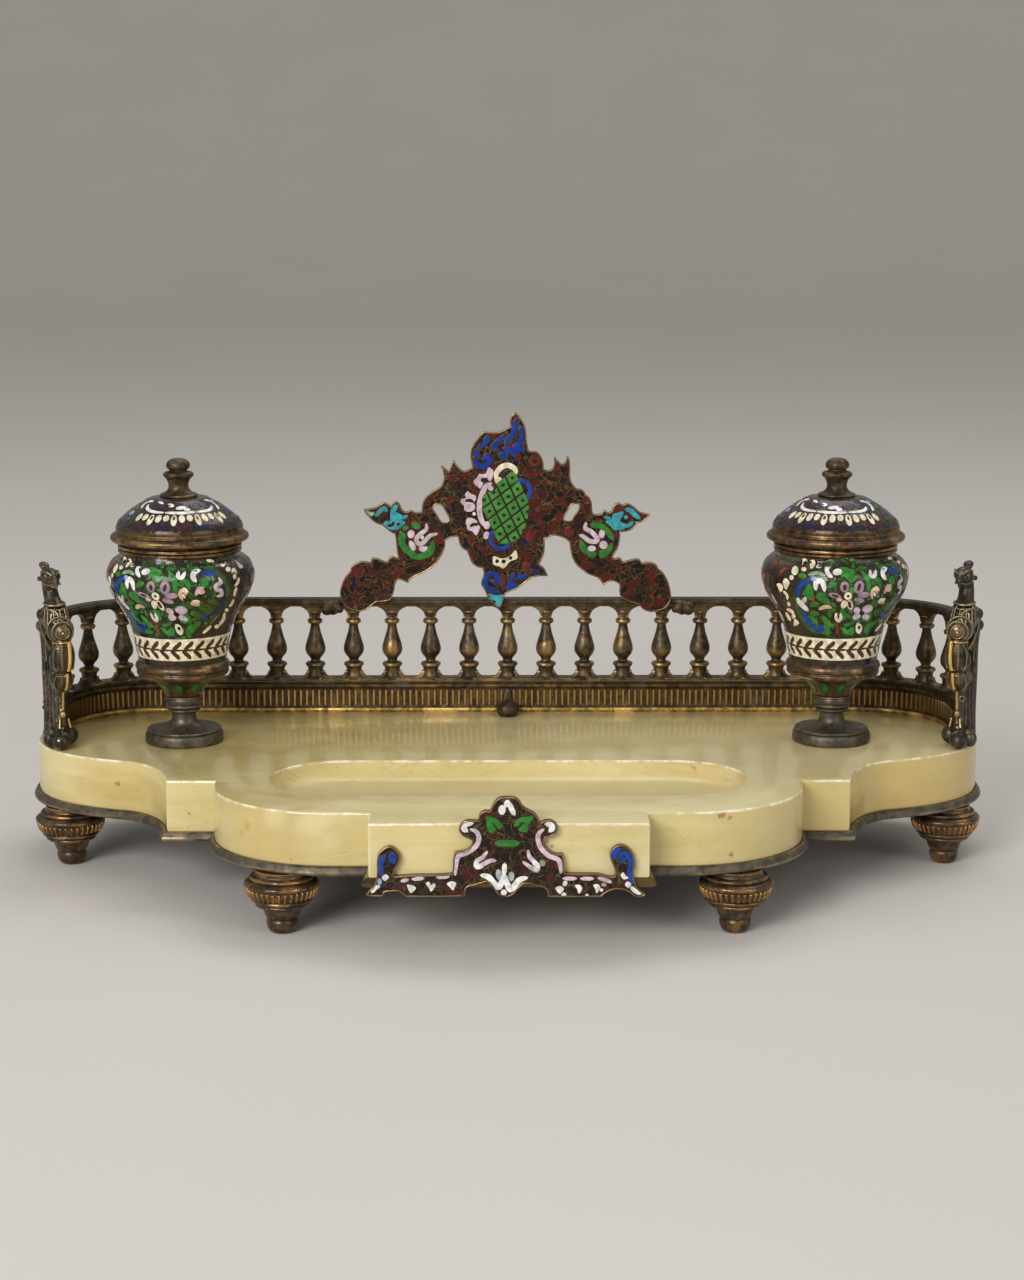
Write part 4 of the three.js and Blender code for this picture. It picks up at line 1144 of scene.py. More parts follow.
def on_mount(u, v):
    middle, low, across, up = MOUNT_SCALE
    return (u - middle) / across, MOUNT_Z + 0.8 + (low - v) / up


def wire(points, radius, look, closed=True):
    """A round wire bent along points."""
    curve = bpy.data.curves.new("wire", "CURVE")
    curve.dimensions = "3D"
    curve.bevel_depth = radius * MM
    curve.bevel_resolution = 2
    curve.use_fill_caps = True
    spline = curve.splines.new("POLY")
    spline.points.add(len(points) - 1)
    for point, place in zip(spline.points, points):
        point.co = (*(Vector(place) * MM), 1)
    spline.use_cyclic_u = closed
    piece = bpy.data.objects.new("wire", curve)
    bpy.context.scene.collection.objects.link(piece)
    pick_up(piece)
    bpy.ops.object.convert(target="MESH")
    return coat(bpy.context.object, look)


def ridge(knots, radius, look):
    """An open wire that flows through knots, half sunk in a sculpted skin."""
    return wire(flowing([knots], 5), radius, look, False)


def swollen(outline, distance):
    """An outline moved outward square to itself, without mitres, so that fine tips stay sound."""
    moved = []
    for i, (x, y) in enumerate(outline):
        onward = (Vector(outline[(i + 1) % len(outline)]) - Vector(outline[i - 1])).normalized()
        moved.append((x + onward.y * distance, y - onward.x * distance))
    return moved


def area_of(outline):
    return sum(a[0] * b[1] - b[0] * a[1] for a, b in zip(outline, outline[1:] + outline[:1])) / 2


def facing_right(outline):
    """The outline in the order that keeps its inside on the left, seen from the front."""
    return outline if area_of(outline) > 0 else outline[::-1]


GROUND_IN = 0.12
EDGE_IN = 0.3
EDGE_OUT = 0.2
EDGE_WIRE = 0.36


def enamelled_plate(name, outline, holes, back, front, look):
    """An upright plate: bronze edges and back, an enamel ground, and a raised edge all round."""
    outline = facing_right(outline)
    plate = prism(name, [(x, back, z) for x, z in outline], (0, front + GROUND_IN - back, 0))
    for hole in holes:
        cutter = prism("slot", [(x, back + 1, z) for x, z in hole], (0, front - back - 2, 0))
        cut_out(plate, cutter)
    coat(plate, "rail", look, "back")
    for face in plate.data.polygons:
        face.material_index = 1 if face.normal.y < -0.9 else 2 if face.normal.y > 0.9 else 0
    rims = [swollen(outline, -EDGE_IN)] + [facing_right(hole) for hole in holes]
    rims = [wire([(x, front + EDGE_OUT, z) for x, z in rim], EDGE_WIRE, "rail") for rim in rims]
    return smooth(united(name, plate, *rims), 40)


def make_crest():
    outline = [on_crest(u, v) for u, v in flowing(read_rows(CREST_ROWS), 5)]
    holes = [[on_crest(u, v) for u, v in flowing([row + row[:1]], 4)[:-1]] for row in read_rows(CREST_SLOTS)]
    return enamelled_plate("enamelled_crest", outline, holes, 92.0, CREST_FACE_Y, "crest")


def make_mount():
    outline = [on_mount(u, v) for u, v in flowing(read_rows(MOUNT_ROWS), 5)]
    return enamelled_plate("enamelled_mount", outline, [], -102.85, MOUNT_FACE_Y, "mount")


def posed(place, turn):
    """Turned about X, Y and Z by turn, then carried to a place in millimetres."""
    pose = Matrix.Translation(Vector(place) * MM)
    for angle, axis in zip(turn, "XYZ"):
        pose = pose @ Matrix.Rotation(angle, 4, axis)
    return pose


def lump(place, size, turn=(0, 0, 0), segments=20):
    """A ball pressed to an egg shape, for a sculpted piece."""
    put_down()
    bpy.ops.mesh.primitive_uv_sphere_add(segments=segments, ring_count=segments // 2, radius=MM)
    piece = bpy.context.object
    piece.data.transform(posed(place, turn) @ Matrix.Diagonal((*size, 1)))
    return piece


def limb(stations, count=6):
    """A row of pressed balls from station to station: (x, y, z, half width, half depth, half height)."""
    return [lump(p[:3], p[3:], segments=14) for p in flowing([stations], count)]


def hoop(place, radius, thickness, turn, look):
    put_down()
    bpy.ops.mesh.primitive_torus_add(major_radius=radius * MM, minor_radius=thickness * MM,
                                     major_segments=36, minor_segments=8)
    piece = bpy.context.object
    piece.data.transform(posed(place, turn))
    return coat(piece, look)


def sculpted(name, parts, grain, rounds):
    """Parts pressed into one skin at a fine grain, and rubbed smooth."""
    piece = united(name, *parts)
    piece.location = (0, 0, 0)
    apply_modifier(piece, "REMESH", mode="VOXEL", voxel_size=grain * MM, adaptivity=0.0)
    apply_modifier(piece, "SMOOTH", factor=0.5, iterations=rounds)
    tidy_faces(piece)
    return piece


# The griffin looks along -Y, its back at the origin and its foot at height nought. A limb is the number of balls
# between stations, and its stations: (x, y, z, half width, half depth, half height).

GRIFFIN_BODY = (
    # strut and back
    (6, (0, -6.4, 2.4, 1.8, 2.6, 2.6), (0, -5.6, 12, 1.2, 2.2, 4), (0, -5, 26, 1.15, 2.2, 4),
     (0, -5, 40, 1.25, 2.3, 4), (0.2, -5.8, 48, 1.9, 3.4, 4), (0.2, -7, 53.5, 1.9, 3.8, 3.4)),
    # chest and neck
    (5, (0.2, -10, 52, 3.0, 4.5, 4.6), (0, -16, 52.5, 4.2, 5.5, 5.0), (0, -22, 52, 4.8, 6, 5.4),
     (0, -26, 50, 4.6, 4.6, 4.8)),
    (3, (0, -22.5, 55, 4.7, 5.8, 2.6), (0, -21.6, 57.4, 4.1, 5.0, 1.6)),
    (5, (0, -20.6, 60, 4.0, 4.4, 1.8), (0, -18.4, 62.6, 3.5, 3.8, 2), (0, -17.0, 66, 3.3, 3.5, 2),
     (0, -17.4, 69, 3.4, 3.8, 2)),
)
GRIFFIN_HEAD = (
    ((0, -18.6, 71.6), (3.9, 4.7, 4.1), 0), ((0, -22.0, 71.0), (2.9, 2.6, 3.1), 0),
    ((0, -22.4, 68.5), (1.8, 2.3, 1.0), 0.25), ((0, -12.6, 75.7), (2.2, 2.7, 1.35), 0.3),
)
GRIFFIN_LEG = (
    # beak and crown
    (4, (0, -23.4, 71.2, 1.8, 1.8, 2.2), (0, -25.2, 70.4, 1.2, 1.4, 1.9), (0, -25.9, 68.6, 0.7, 0.8, 1.3)),
    (3, (0, -16.0, 73.6, 2.5, 2.6, 1.7), (0, -13.6, 74.6, 1.8, 2.0, 1.2)),
    # thigh, shin and ankle
    (6, (0, -28.2, 46, 3.9, 3.6, 2.4), (0, -29, 40, 4.6, 4.0, 4), (0, -28.8, 35.6, 4.4, 3.8, 3),
     (0, -28, 33, 3.7, 3.2, 1.2)),
    (5, (0, -27.8, 31, 4.2, 3.6, 1.6), (0, -27, 28, 4.3, 3.5, 3), (0, -25.6, 25.3, 3.2, 2.8, 2.2),
     (0, -24.4, 23, 2.3, 2.2, 2), (0, -24.4, 17, 2.0, 2.3, 3), (0, -25, 13, 2.4, 2.5, 2),
     (0.2, -25.2, 9.6, 2.9, 3.0, 2.2), (0.6, -25.6, 7, 3.4, 3.8, 2.6)),
)
GRIFFIN_CLAWS = (((-3.9, -23, 4.1), (3.8, 3.8, 3.9)), ((2.4, -30.6, 3.5), (3.9, 3.9, 3.7)),
                 ((5.8, -25.6, 3.7), (2.8, 3.0, 3.6)))
GRIFFIN_TOES = (
    (3, (-1.5, -24.5, 8.4, 2.2, 2.4, 2), (-3.4, -23.4, 6.4, 2.7, 2.9, 2.2)),
    (3, (1.0, -27, 8.2, 2.0, 2.2, 2), (2.2, -29, 6.0, 2.6, 2.6, 2.0)),
    (3, (2.4, -25.4, 10.4, 1.4, 1.8, 3), (4.8, -25.4, 6.4, 1.8, 2.2, 2.6)),
)
# On either side: cheek, eye, shoulder, wing root, thigh and calf
GRIFFIN_SIDES = (
    ((3.2, -14.2, 70.4), (0.9, 1.3, 1.1)), ((2.9, -21.6, 72.4), (0.9, 1.1, 1.1)),
    ((2.3, -9.6, 54.2), (2.0, 3.0, 2.6)), ((2.5, -8.4, 49.2), (1.8, 3.0, 2.4)),
    ((3.9, -26.6, 37.4), (1.2, 2.4, 3.0)), ((3.6, -25, 30), (1.2, 2.3, 3.6)),
)
# Raised lines: how thick, which look, and the knots they flow through
GRIFFIN_FLUTES = (
    (1.0, "gilt", (-1.6, -32.0, 46), (-1.8, -32.5, 41), (-1.7, -32.3, 36.5), (-1.4, -31.3, 33.6)),
    (0.7, "ridge", (1.4, -32.1, 45), (1.6, -32.4, 41), (1.5, -32.1, 37), (1.2, -31.2, 34)),
    (0.85, "gilt", (-1.0, -30.8, 32.3), (-1.1, -30.2, 28.5), (-0.8, -28.4, 25.2)),
    (0.6, "ridge", (1.3, -30.6, 31.8), (1.4, -30.0, 28.5), (1.0, -28.2, 25.4)),
    (0.65, "worn", (-0.3, -27.0, 24.6), (-0.3, -26.5, 20), (-0.1, -26.6, 16)),
)
GRIFFIN_STRAPS = (
    (0.45, "ridge", (0.4, -8.6, 49), (0.4, -8.4, 42), (0.4, -8.8, 34)),
    (0.5, "worn", (-3.8, -28.6, 46.6), (-1.4, -32.4, 46.0), (2.0, -32.2, 45.6), (4.0, -28.4, 45.4)),
)
GRIFFIN_SIDE_LINES = (
    (0.4, "ridge", (0.9, -24.4, 73.0), (2.8, -22.2, 74.4), (3.6, -18, 73.9)),
    (0.36, "ridge", (0.8, -25.9, 69.6), (2.6, -23.2, 69.0), (3.4, -19, 69.6)),
    (0.34, "ridge", (3.0, -31, 45), (4.3, -30.4, 41.5), (4.5, -30, 37.5), (3.7, -30.4, 33.9), (2.9, -31.2, 35.2)),
    (0.3, "ridge", (3.0, -30, 32.2), (4.1, -29.2, 29), (3.3, -28.2, 26), (0.9, -27, 23.6)),
    (0.5, "ridge", (3.2, -11, 51.5), (4.1, -16, 48), (4.2, -22, 44.4), (4.1, -27, 42)),
    (0.36, "dull", (2.9, -12, 48), (3.6, -17, 45), (4.0, -24, 41)),
    (0.5, "worn", (1.9, -28, 12.4), (2.1, -28.4, 10.4), (2.4, -28.8, 8.6)),
)


def limbs(table):
    return [ball for count, *stations in table for ball in limb(stations, count)]


def griffin_core():
    """The griffin's solid mass: strut and back, chest, neck and head, clawed leg."""
    parts = limbs(GRIFFIN_BODY)
    parts += [lump(place, size, (nod, 0, 0)) for place, size, nod in GRIFFIN_HEAD]
    parts += limbs(GRIFFIN_LEG)
    parts.append(prism("web", [(-1.9, -5, 6), (-1.9, -24, 8), (-1.9, -26, 46), (-1.9, -5, 50)], (1.1, 0, 0)))
    for y, fold in ((-9.0, 0.1), (-13.2, -0.1), (-17.2, -0.3), (-21.0, -0.3)):
        top = 27 + 0.35 * (y + 9)
        parts += limb([(fold - 0.6, y, top, 0.9, 1.3, 1.6), (fold - 0.1, y - 0.2, top - 5, 1.25, 1.75, 3),
                       (fold, y - 0.5, 13, 1.35, 1.9, 4), (fold + 0.4, y - 1.0, 4, 1.9, 2.3, 3.4)], 5)
    parts += [lump(place, size) for place, size in GRIFFIN_CLAWS]
    parts += limbs(GRIFFIN_TOES)
    for side in (-1, 1):
        parts += [lump((side * x, y, z), size) for (x, y, z), size in GRIFFIN_SIDES]
    core = sculpted("griffin_core", parts, 0.3, 2)
    coat(core, "dull", "worn")
    for face in core.data.polygons:
        x, y, z = face.center / MM
        face.material_index = 1 if 12 < z < 46.5 and y < -26.5 and x < 1.5 else 0
    return core


def on_chest(turn, level):
    """A place on the griffin's chest, a turn from its front."""
    share = (58.8 - level) / 5.0
    return (4.25 + 0.75 * share) * math.sin(turn), -21.5 - share - (5.1 + 1.3 * share) * math.cos(turn), level


def griffin_lines():
    """The crisp work on the griffin: collar, netted chest, ringed boss, fluted leg, straps and claws."""
    facing = Vector((0.247, -0.969, 0))
    boss = Vector((-0.2, -28.4, 49.8))
    upright = (QUARTER, 0.25, 0)
    lines = [coat(lump(boss, (4.3, 4.3, 4.5)), "dull"), coat(lump(boss + 4.5 * facing, (0.7, 0.6, 0.7)), "gilt"),
             hoop(boss + 1.6 * facing, 4.2, 0.55, upright, "ridge"),
             hoop(boss + 3.5 * facing, 2.7, 0.36, upright, "dull"),
             hoop(boss + 4.2 * facing, 1.3, 0.26, upright, "ridge"),
             hoop(boss + Vector((0.9, -0.2, 0.9)), 5.3, 0.45, upright, "ridge"),
             hoop((0, -20.8, 60.6), 4.3, 0.55, (0.08, 0, 0), "greyed"),
             hoop((0, -21.4, 58.9), 4.6, 0.5, (0.08, 0, 0), "ridge")]
    for k in range(-3, 4):
        lines.append(ridge([on_chest(0.6 * k, level) for level in (58.8, 57, 55, 53)], 0.32, "ridge"))
    for level in (56.8, 54.6):
        lines.append(ridge([on_chest(0.25 * k, level) for k in range(-8, 9)], 0.28, "ridge"))
    leaf = ((0.9, 58.6), (0.35, 57.6), (0.2, 55.4), (0.5, 53.4), (0.85, 55.0), (0.8, 57.2))
    lines.append(ridge([on_chest(*knot) for knot in leaf], 0.4, "greyed"))
    lines += [ridge(knots, radius, look) for radius, look, *knots in GRIFFIN_FLUTES]
    lines.append(coat(lump((0.1, -27.2, 14), (1.1, 0.9, 1.5)), "gilt"))
    lines.append(hoop((1.9, -26.2, 20.6), 1.1, 0.3, (QUARTER, 0.2, 0), "ridge"))
    lines += [ridge(knots, radius, look) for radius, look, *knots in GRIFFIN_STRAPS]
    for side in (-1, 1):
        lines.append(hoop((side * 3.0, -21.7, 72.4), 1.15, 0.26, (0, QUARTER, side * 0.35), "ridge"))
        for radius, look, *knots in GRIFFIN_SIDE_LINES:
            lines.append(ridge([(side * x, y, z) for x, y, z in knots], radius, look))
    lines += [hoop((2.4, -31.8, 4.7), 2.7, 0.36, (1.1, 0.2, 0), "ridge"),
              hoop((2.4, -32.8, 4.5), 1.5, 0.3, (1.1, 0.2, 0), "ridge"),
              hoop((-3.9, -24.4, 4.7), 3.0, 0.36, (1.1, -0.3, 0), "ridge")]
    return lines


def make_clasp():
    """A knot of two twisted strands that clips the crest to the rail, pointing along +X."""
    parts = [lump((2.6, 0, 0.4), (2.7, 2.9, 3.0)), lump((6.6, 0, -0.3), (2.9, 3.0, 3.1)),
             lump((0.8, 0, -0.4), (1.6, 2.0, 2.0))]
    for phase in (0, math.pi):
        for k in range(22):
            t = k / 21
            a = phase + 3.6 * t
            r = 3.0 - 0.5 * abs(2 * t - 1)
            place = (1.0 + 7.4 * t, r * math.cos(a) * 0.86, r * math.sin(a) * 0.86)
            parts.append(lump(place, (1.0, 0.75, 0.75), segments=10))
    return coat(smooth(sculpted("crest_clasp", parts, 0.24, 2), 60), "bronze")


shown(make_crest(), "stand", "dark_enamel", "crest_plate")
shown(make_mount(), "stand", "dark_enamel", "front_mount")

CLASP_PLACE = (73.5, 88.8, 98.0)
GRIFFIN_Y = 45.8
GRIFFIN_NECK_Z = 58
# Each griffin's place across, and how far its neck leans outward for its height
GRIFFIN_PLACES = (("right", 201.9, -0.1), ("left", -200.0, 0.075))

model = make_clasp()
x, y, z = CLASP_PLACE
right = copied(model, "crest_knot_right", shift(x, y, z))
left = copied(model, "crest_knot_left", shift(-x, y, z) @ Matrix.Diagonal((-1, 1, 1, 1)))
shown(right, "stand", "aged_bronze", "crest_clasp_right")
shown(left, "stand", "aged_bronze", "crest_clasp_left")
bpy.data.objects.remove(model)

model = smooth(united("griffin", griffin_core(), *griffin_lines()), 60)
for side, x, lean in GRIFFIN_PLACES:
    bent = copied(model, "bent_griffin", Matrix())
    for vertex in bent.data.vertices:
        vertex.co.x += lean * max(0, vertex.co.z - GRIFFIN_NECK_Z * MM)
    flip = Matrix.Diagonal((math.copysign(1, x), 1, 1, 1))
    one = copied(bent, "griffin_sculpture_" + side, shift(x, GRIFFIN_Y, BASE_Z, -math.copysign(0.5, x)) @ flip)
    shown(one, "stand", "gilt_bronze", "griffin_" + side)
    bpy.data.objects.remove(bent)
bpy.data.objects.remove(model)


# Enamel cells: each line is a colour (and its layer), a form, and points at the photograph's scale.
# A form is a ribbon's width, an oval's half sizes and turn, or = for a closed shape. Letters before a colour say
# which urn a cell is read from.

CREST_CELLS = """
cobalt = 516.5,420 518,426 516.5,434 512,441 505.5,446.5 506.5,441 511,436 513.5,428
cobalt = 521,428 523.5,434 523,441 524.5,444.5 520.5,446.5 515.5,449 513,447.5 517.5,444 520,438.5
cobalt = 504.5,436 504,440 500,444 496,449.5 490.5,449 494.5,444.5 497.5,441.5
cobalt = 488.5,437 489.5,441.5 486.5,446 480.5,449.5 479.5,447 483.5,444.5 485,440
cobalt = 503.5,449.5 509,448.5 513,450 518,448.5 525.5,450.5 519,453.5 516,457 513,454 507,453.5
cobalt o3x4@0 515,453.5
cobalt o4.2x3.2@0 504,457
cobalt o2.2x1.2@0 497,452
cobalt o2.6x2.6@0 477,454
cobalt 4.6 475,459 478,465.5 484.5,467.5 490.5,462.5 487.5,457.5 483.8,460.5
cream 4.6 496,480 497.5,473 503,467.8 509,466.5 515.3,470 516.5,474.5
cream o3.6x3.2@0 499,481.5
cream o2.8x2.8@0 514.5,478
lilac = 489,469 493.5,472 493,477 490.5,482 487.5,478.5 485,478.5 484,481.5 481,489 478.5,487.5 476,485.5 474.5,482 \
478.5,478 479.5,475.5 484,475.5 487,474
dark^2 o1.7x1.7@0 483.5,481
lilac = 468,492.5 471.5,495 476,497 475.5,501 472.5,503 475,506 474,510.5 468.5,512 465,510 465,506.5 461.5,503 \
462.5,500 466.5,499 466,495.5
dark^2 1.8 466.5,501.5 470,501 473,502
lilac = 467.5,519.5 471.5,518.8 476.5,521 477.5,524.5 480,527.5 479,531 476.5,535.5 473,531.5 468.5,530 467.5,526 \
466.5,523
dark^2 1.8 471,526.5 474,524.8 477.5,525.2
lilac 4.6 491.5,484.5 485.8,488 481,500 479.8,511 482,521 486,526.5
lilac o3x3.6@0 487.2,525.8
lilac o2.4x2.2@0 491.3,489
lilac o2.6x3.4@20 486.8,535.8
cream o1.2x1.4@0 474.5,514.5
azure 3.4 516.5,484.5 520.5,481.5 527.5,484 530.5,491.5 528.5,498 523.8,498
azure 3.2 497,536 494,533 490.5,536.5 491.8,543 498.5,548.5 506.2,547.8 509,543.5 505.5,543.5
cream = 493.5,557 503,559.3 511,556.3 516,551 517.3,558.5 510.5,561.3 506,566.5 503,568.5 500,566.5 494,564.5
dark^2 o1.3x1.3@0 497.5,561.5
dark^2 o1.5x1.5@0 504,561.8
dark^2 o1.2x1.2@0 511,558.3
cobalt 4.4 493.5,582 497,583.5 499,580 496.5,575.8 490.5,574.6 485.8,579.5 486,586 491,591.2 498,592.6
red = 502.5,574 505,578 505,585 503.5,590.5 501.5,585 501.5,578
cobalt = 513,573.5 516,576.5 512.8,580.5 514,584 518,584.5 515,588.5 511,590.8 507.3,589.5 508.8,583.5 510.5,578
cobalt = 519.5,573.5 523.5,575.5 527,573.8 526,578.5 521,580.5 518.8,577.5
navy 3.4 531,571.5 540,573.5
turquoise = 489,594.5 496,596 503,595.5 503.5,600 501,603 501,606.5 498,607.5 496,605 496.5,601 492,600
red o3x4.4@0 530,538.5
red o3.2x3.2@0 527,566.5
red o5x5@0 535,462
dark^2 o2.2x2.2@0 535,462.5
red o4x4.4@0 570,532.5
sage 3.4 366.5,512.5 370.5,514.5 374,514
turquoise 3.4 376.5,516.3 379.8,512.3 384.5,509 387,511.5
turquoise = 395,506 398,506.5 397,510 395.5,512.5 399,514 403,516.5 408,516 405.5,519 400,520 405,522.8 402,526.5 \
398,529.5 392,530 387.5,528 384,524.5 386.5,522 390.5,521.5 391,516 391.8,510
dark^2 o1x1@0 398.5,524.5
dark^2 1.4 388,526 392.5,525.5 393.5,522.5
green o2.8x2@-20 405.8,528.5
green o4.2x2.8@25 416.3,526.3
green = 400.5,532 405.5,535.5 405,543 409.5,549 405.5,553.5 401,547 399,539
lilac o3.2x3.8@10 411.3,534.5
lilac o2.6x5@-25 412.4,546
lilac o4.6x2.6@0 424,549.3
lilac 3.8 426.8,525 426.2,530 420.2,534.8 416.6,539.5 418.5,543.8 422,544 427.5,539 431,535.8 437,534.3
cream^2 o1.5x1.7@20 422.5,537.8
green = 406.5,552 412.5,551 417.5,555 423.5,553 429.5,547 433.5,541.5 434.5,549 430.5,556 421,559.5 411.5,558
turquoise 4.2 626.8,510.3 631,511 635,515 640,518.8
turquoise = 613.5,516 618,514 623.5,512.5 623,516.5 620.3,521 625,525.5 628,527 622,530 615,530 611,526 606.5,522 \
612,520.5
turquoise 3 621.5,524.5 628.5,526.5 633.5,522.8
turquoise 2.4 605.5,518 611,519
turquoise o1.5x1.5@0 626.7,518
lilac 4 586.5,523.8 585.9,529 591.5,532 598,539 596,542 590,541.3 584,537 580.8,535.8
lilac o2.6x4@0 602.5,534.5
lilac o3.8x3.8@0 604.2,545.5
lilac o3.8x2.6@0 592.5,549
green o4.2x2.4@10 595.5,526
green = 598.5,523.5 606,526.5 612,533 614,540.5 609.5,537.5 604.5,531.5 598,527.5
green = 600.5,551.5 606.5,550 612.3,543.5 613,549.5 607.5,556 601,557.5
green = 580.8,540.5 585.5,545 590,552 596.5,553.5 594,557.8 586.5,554.5 581,549
"""
MOUNT_CELLS = """
white o3.4x4.4@0 503,810
white 4 506.3,807 507.8,802.8 510,801.8
white 4.6 510.3,803 512.5,809 515.3,814.5
green = 487.5,817 496,818.5 502.5,823.5 503,826.5 500,828.5 496,824 492.5,820.5 494.5,826 496.5,829.5 494,832.5 \
489.8,831 488,824.5
green = 532.8,816.3 533,819.5 529,824 528,831 524.5,831.5 520,829.8 523,826 525.5,822.5 522,822 518.5,825.5 \
515.2,825.3 517.5,821 522.5,817.5
green 5.9 497.5,843 508,843 519,843
white 5.4 473.5,823 467,823.8 465,828 468,830.8
lilac 4.2 472,829.2 477.5,831.5 480,837.5 477,845.8 467.5,852.5 459.3,856 456.8,866 456.3,874
white 5.4 547,824 551.5,824.5 553,828 550.5,831
lilac 4.2 544,829.5 540,833 538.8,838.5 541.5,847 549,855 559,859.3 561.3,866 561.7,872
lilac 4 488,851.5 483.5,857 477.5,861 478.6,866.3 485.5,863 491.5,860.2 496,860.3
white 5 477.5,861.5 478,866 484,865
lilac 4 529,850.5 530.8,857 538,864.5 537.8,869.7 531.5,866.8 524.5,861.8
white 5 534,861 538.5,866 536,869.5
sage o2.4x2.8@0 543.6,862.5
white 4.2 505.6,863.5 505.4,868 505.2,873.5
grey = 498,869.5 501,870 502.5,874 502,879 499,878.5 497,874
grey = 512,871.5 514.5,873.5 514.5,878 512,880.5 509.8,877 510.2,873
white 5.7 482.5,874.8 489.5,876.5 494,882 499,886.5 502.5,882 505,873.5
white 5.7 527.5,877.3 520.5,879.5 515.5,885.5 511.5,888.8 508.3,884 506,875
white o2.6x2.8@0 504.8,892
lilac 3.3 413.5,878.6 424.5,877.6
lilac 3.3 438,876.9 449.5,876
lilac 3.1 402.5,880.5 409,879
lilac 3.3 564.5,878 577,878.2
lilac 3.3 582,878.2 594,878.2
lilac 3.3 599.5,877.5 606,879.5 612,881.8
white = 408,884.5 413,885 416.5,887.5 413.5,891 411.5,892 409.5,888.5
white = 427,883 430,881.5 431.5,885 435,883 436,885.5 432,890.5 430.5,888
white = 448,883.5 452.5,881 457,883 455,887 454,889.5 451,886.5
white = 556.5,888 561,885.8 564.5,888.5 561.5,893 559,891.5
white = 576,885.5 580,884.5 583,888 580,893 578.5,888.5
white = 594.5,885 598.5,884 601,887 597.8,892.5 596.5,888.5
white o2.2x1.6@0 565,894
white o2x2.6@20 566,883
white o1.4x1.2@0 588,895
white o1.4x1.4@0 602.5,889.5
pink o2.2x1.6@10 605,884.3
dark o4.6x2.6@-10 391,884
azure o3.4x5@-10 393.8,857.5
azure 4.7 386,855.5 381.8,861 381.2,867.5 383,873.5
white = 383,877 386.5,874 389.5,876.5 386,880
sky o1.9x2.8@0 380.6,881
white 3.3 380,885.5 376,887.5 372.8,891.5
azure 5 614.5,858.5 615.5,852.5 620.5,848.8
azure 5.4 622,861 624.5,858.5 622,855.5 626,853.8 631.3,858.5 632.5,866 630.5,873 632.8,882.5
white = 622,875.5 624,872.3 626.5,875.5 629,877.5 625,878.7
white = 626.5,885 628,881.3 632,883.5 629.5,887.3
white 3.5 632.5,886.8 636,890.5 641.5,893.3
"""
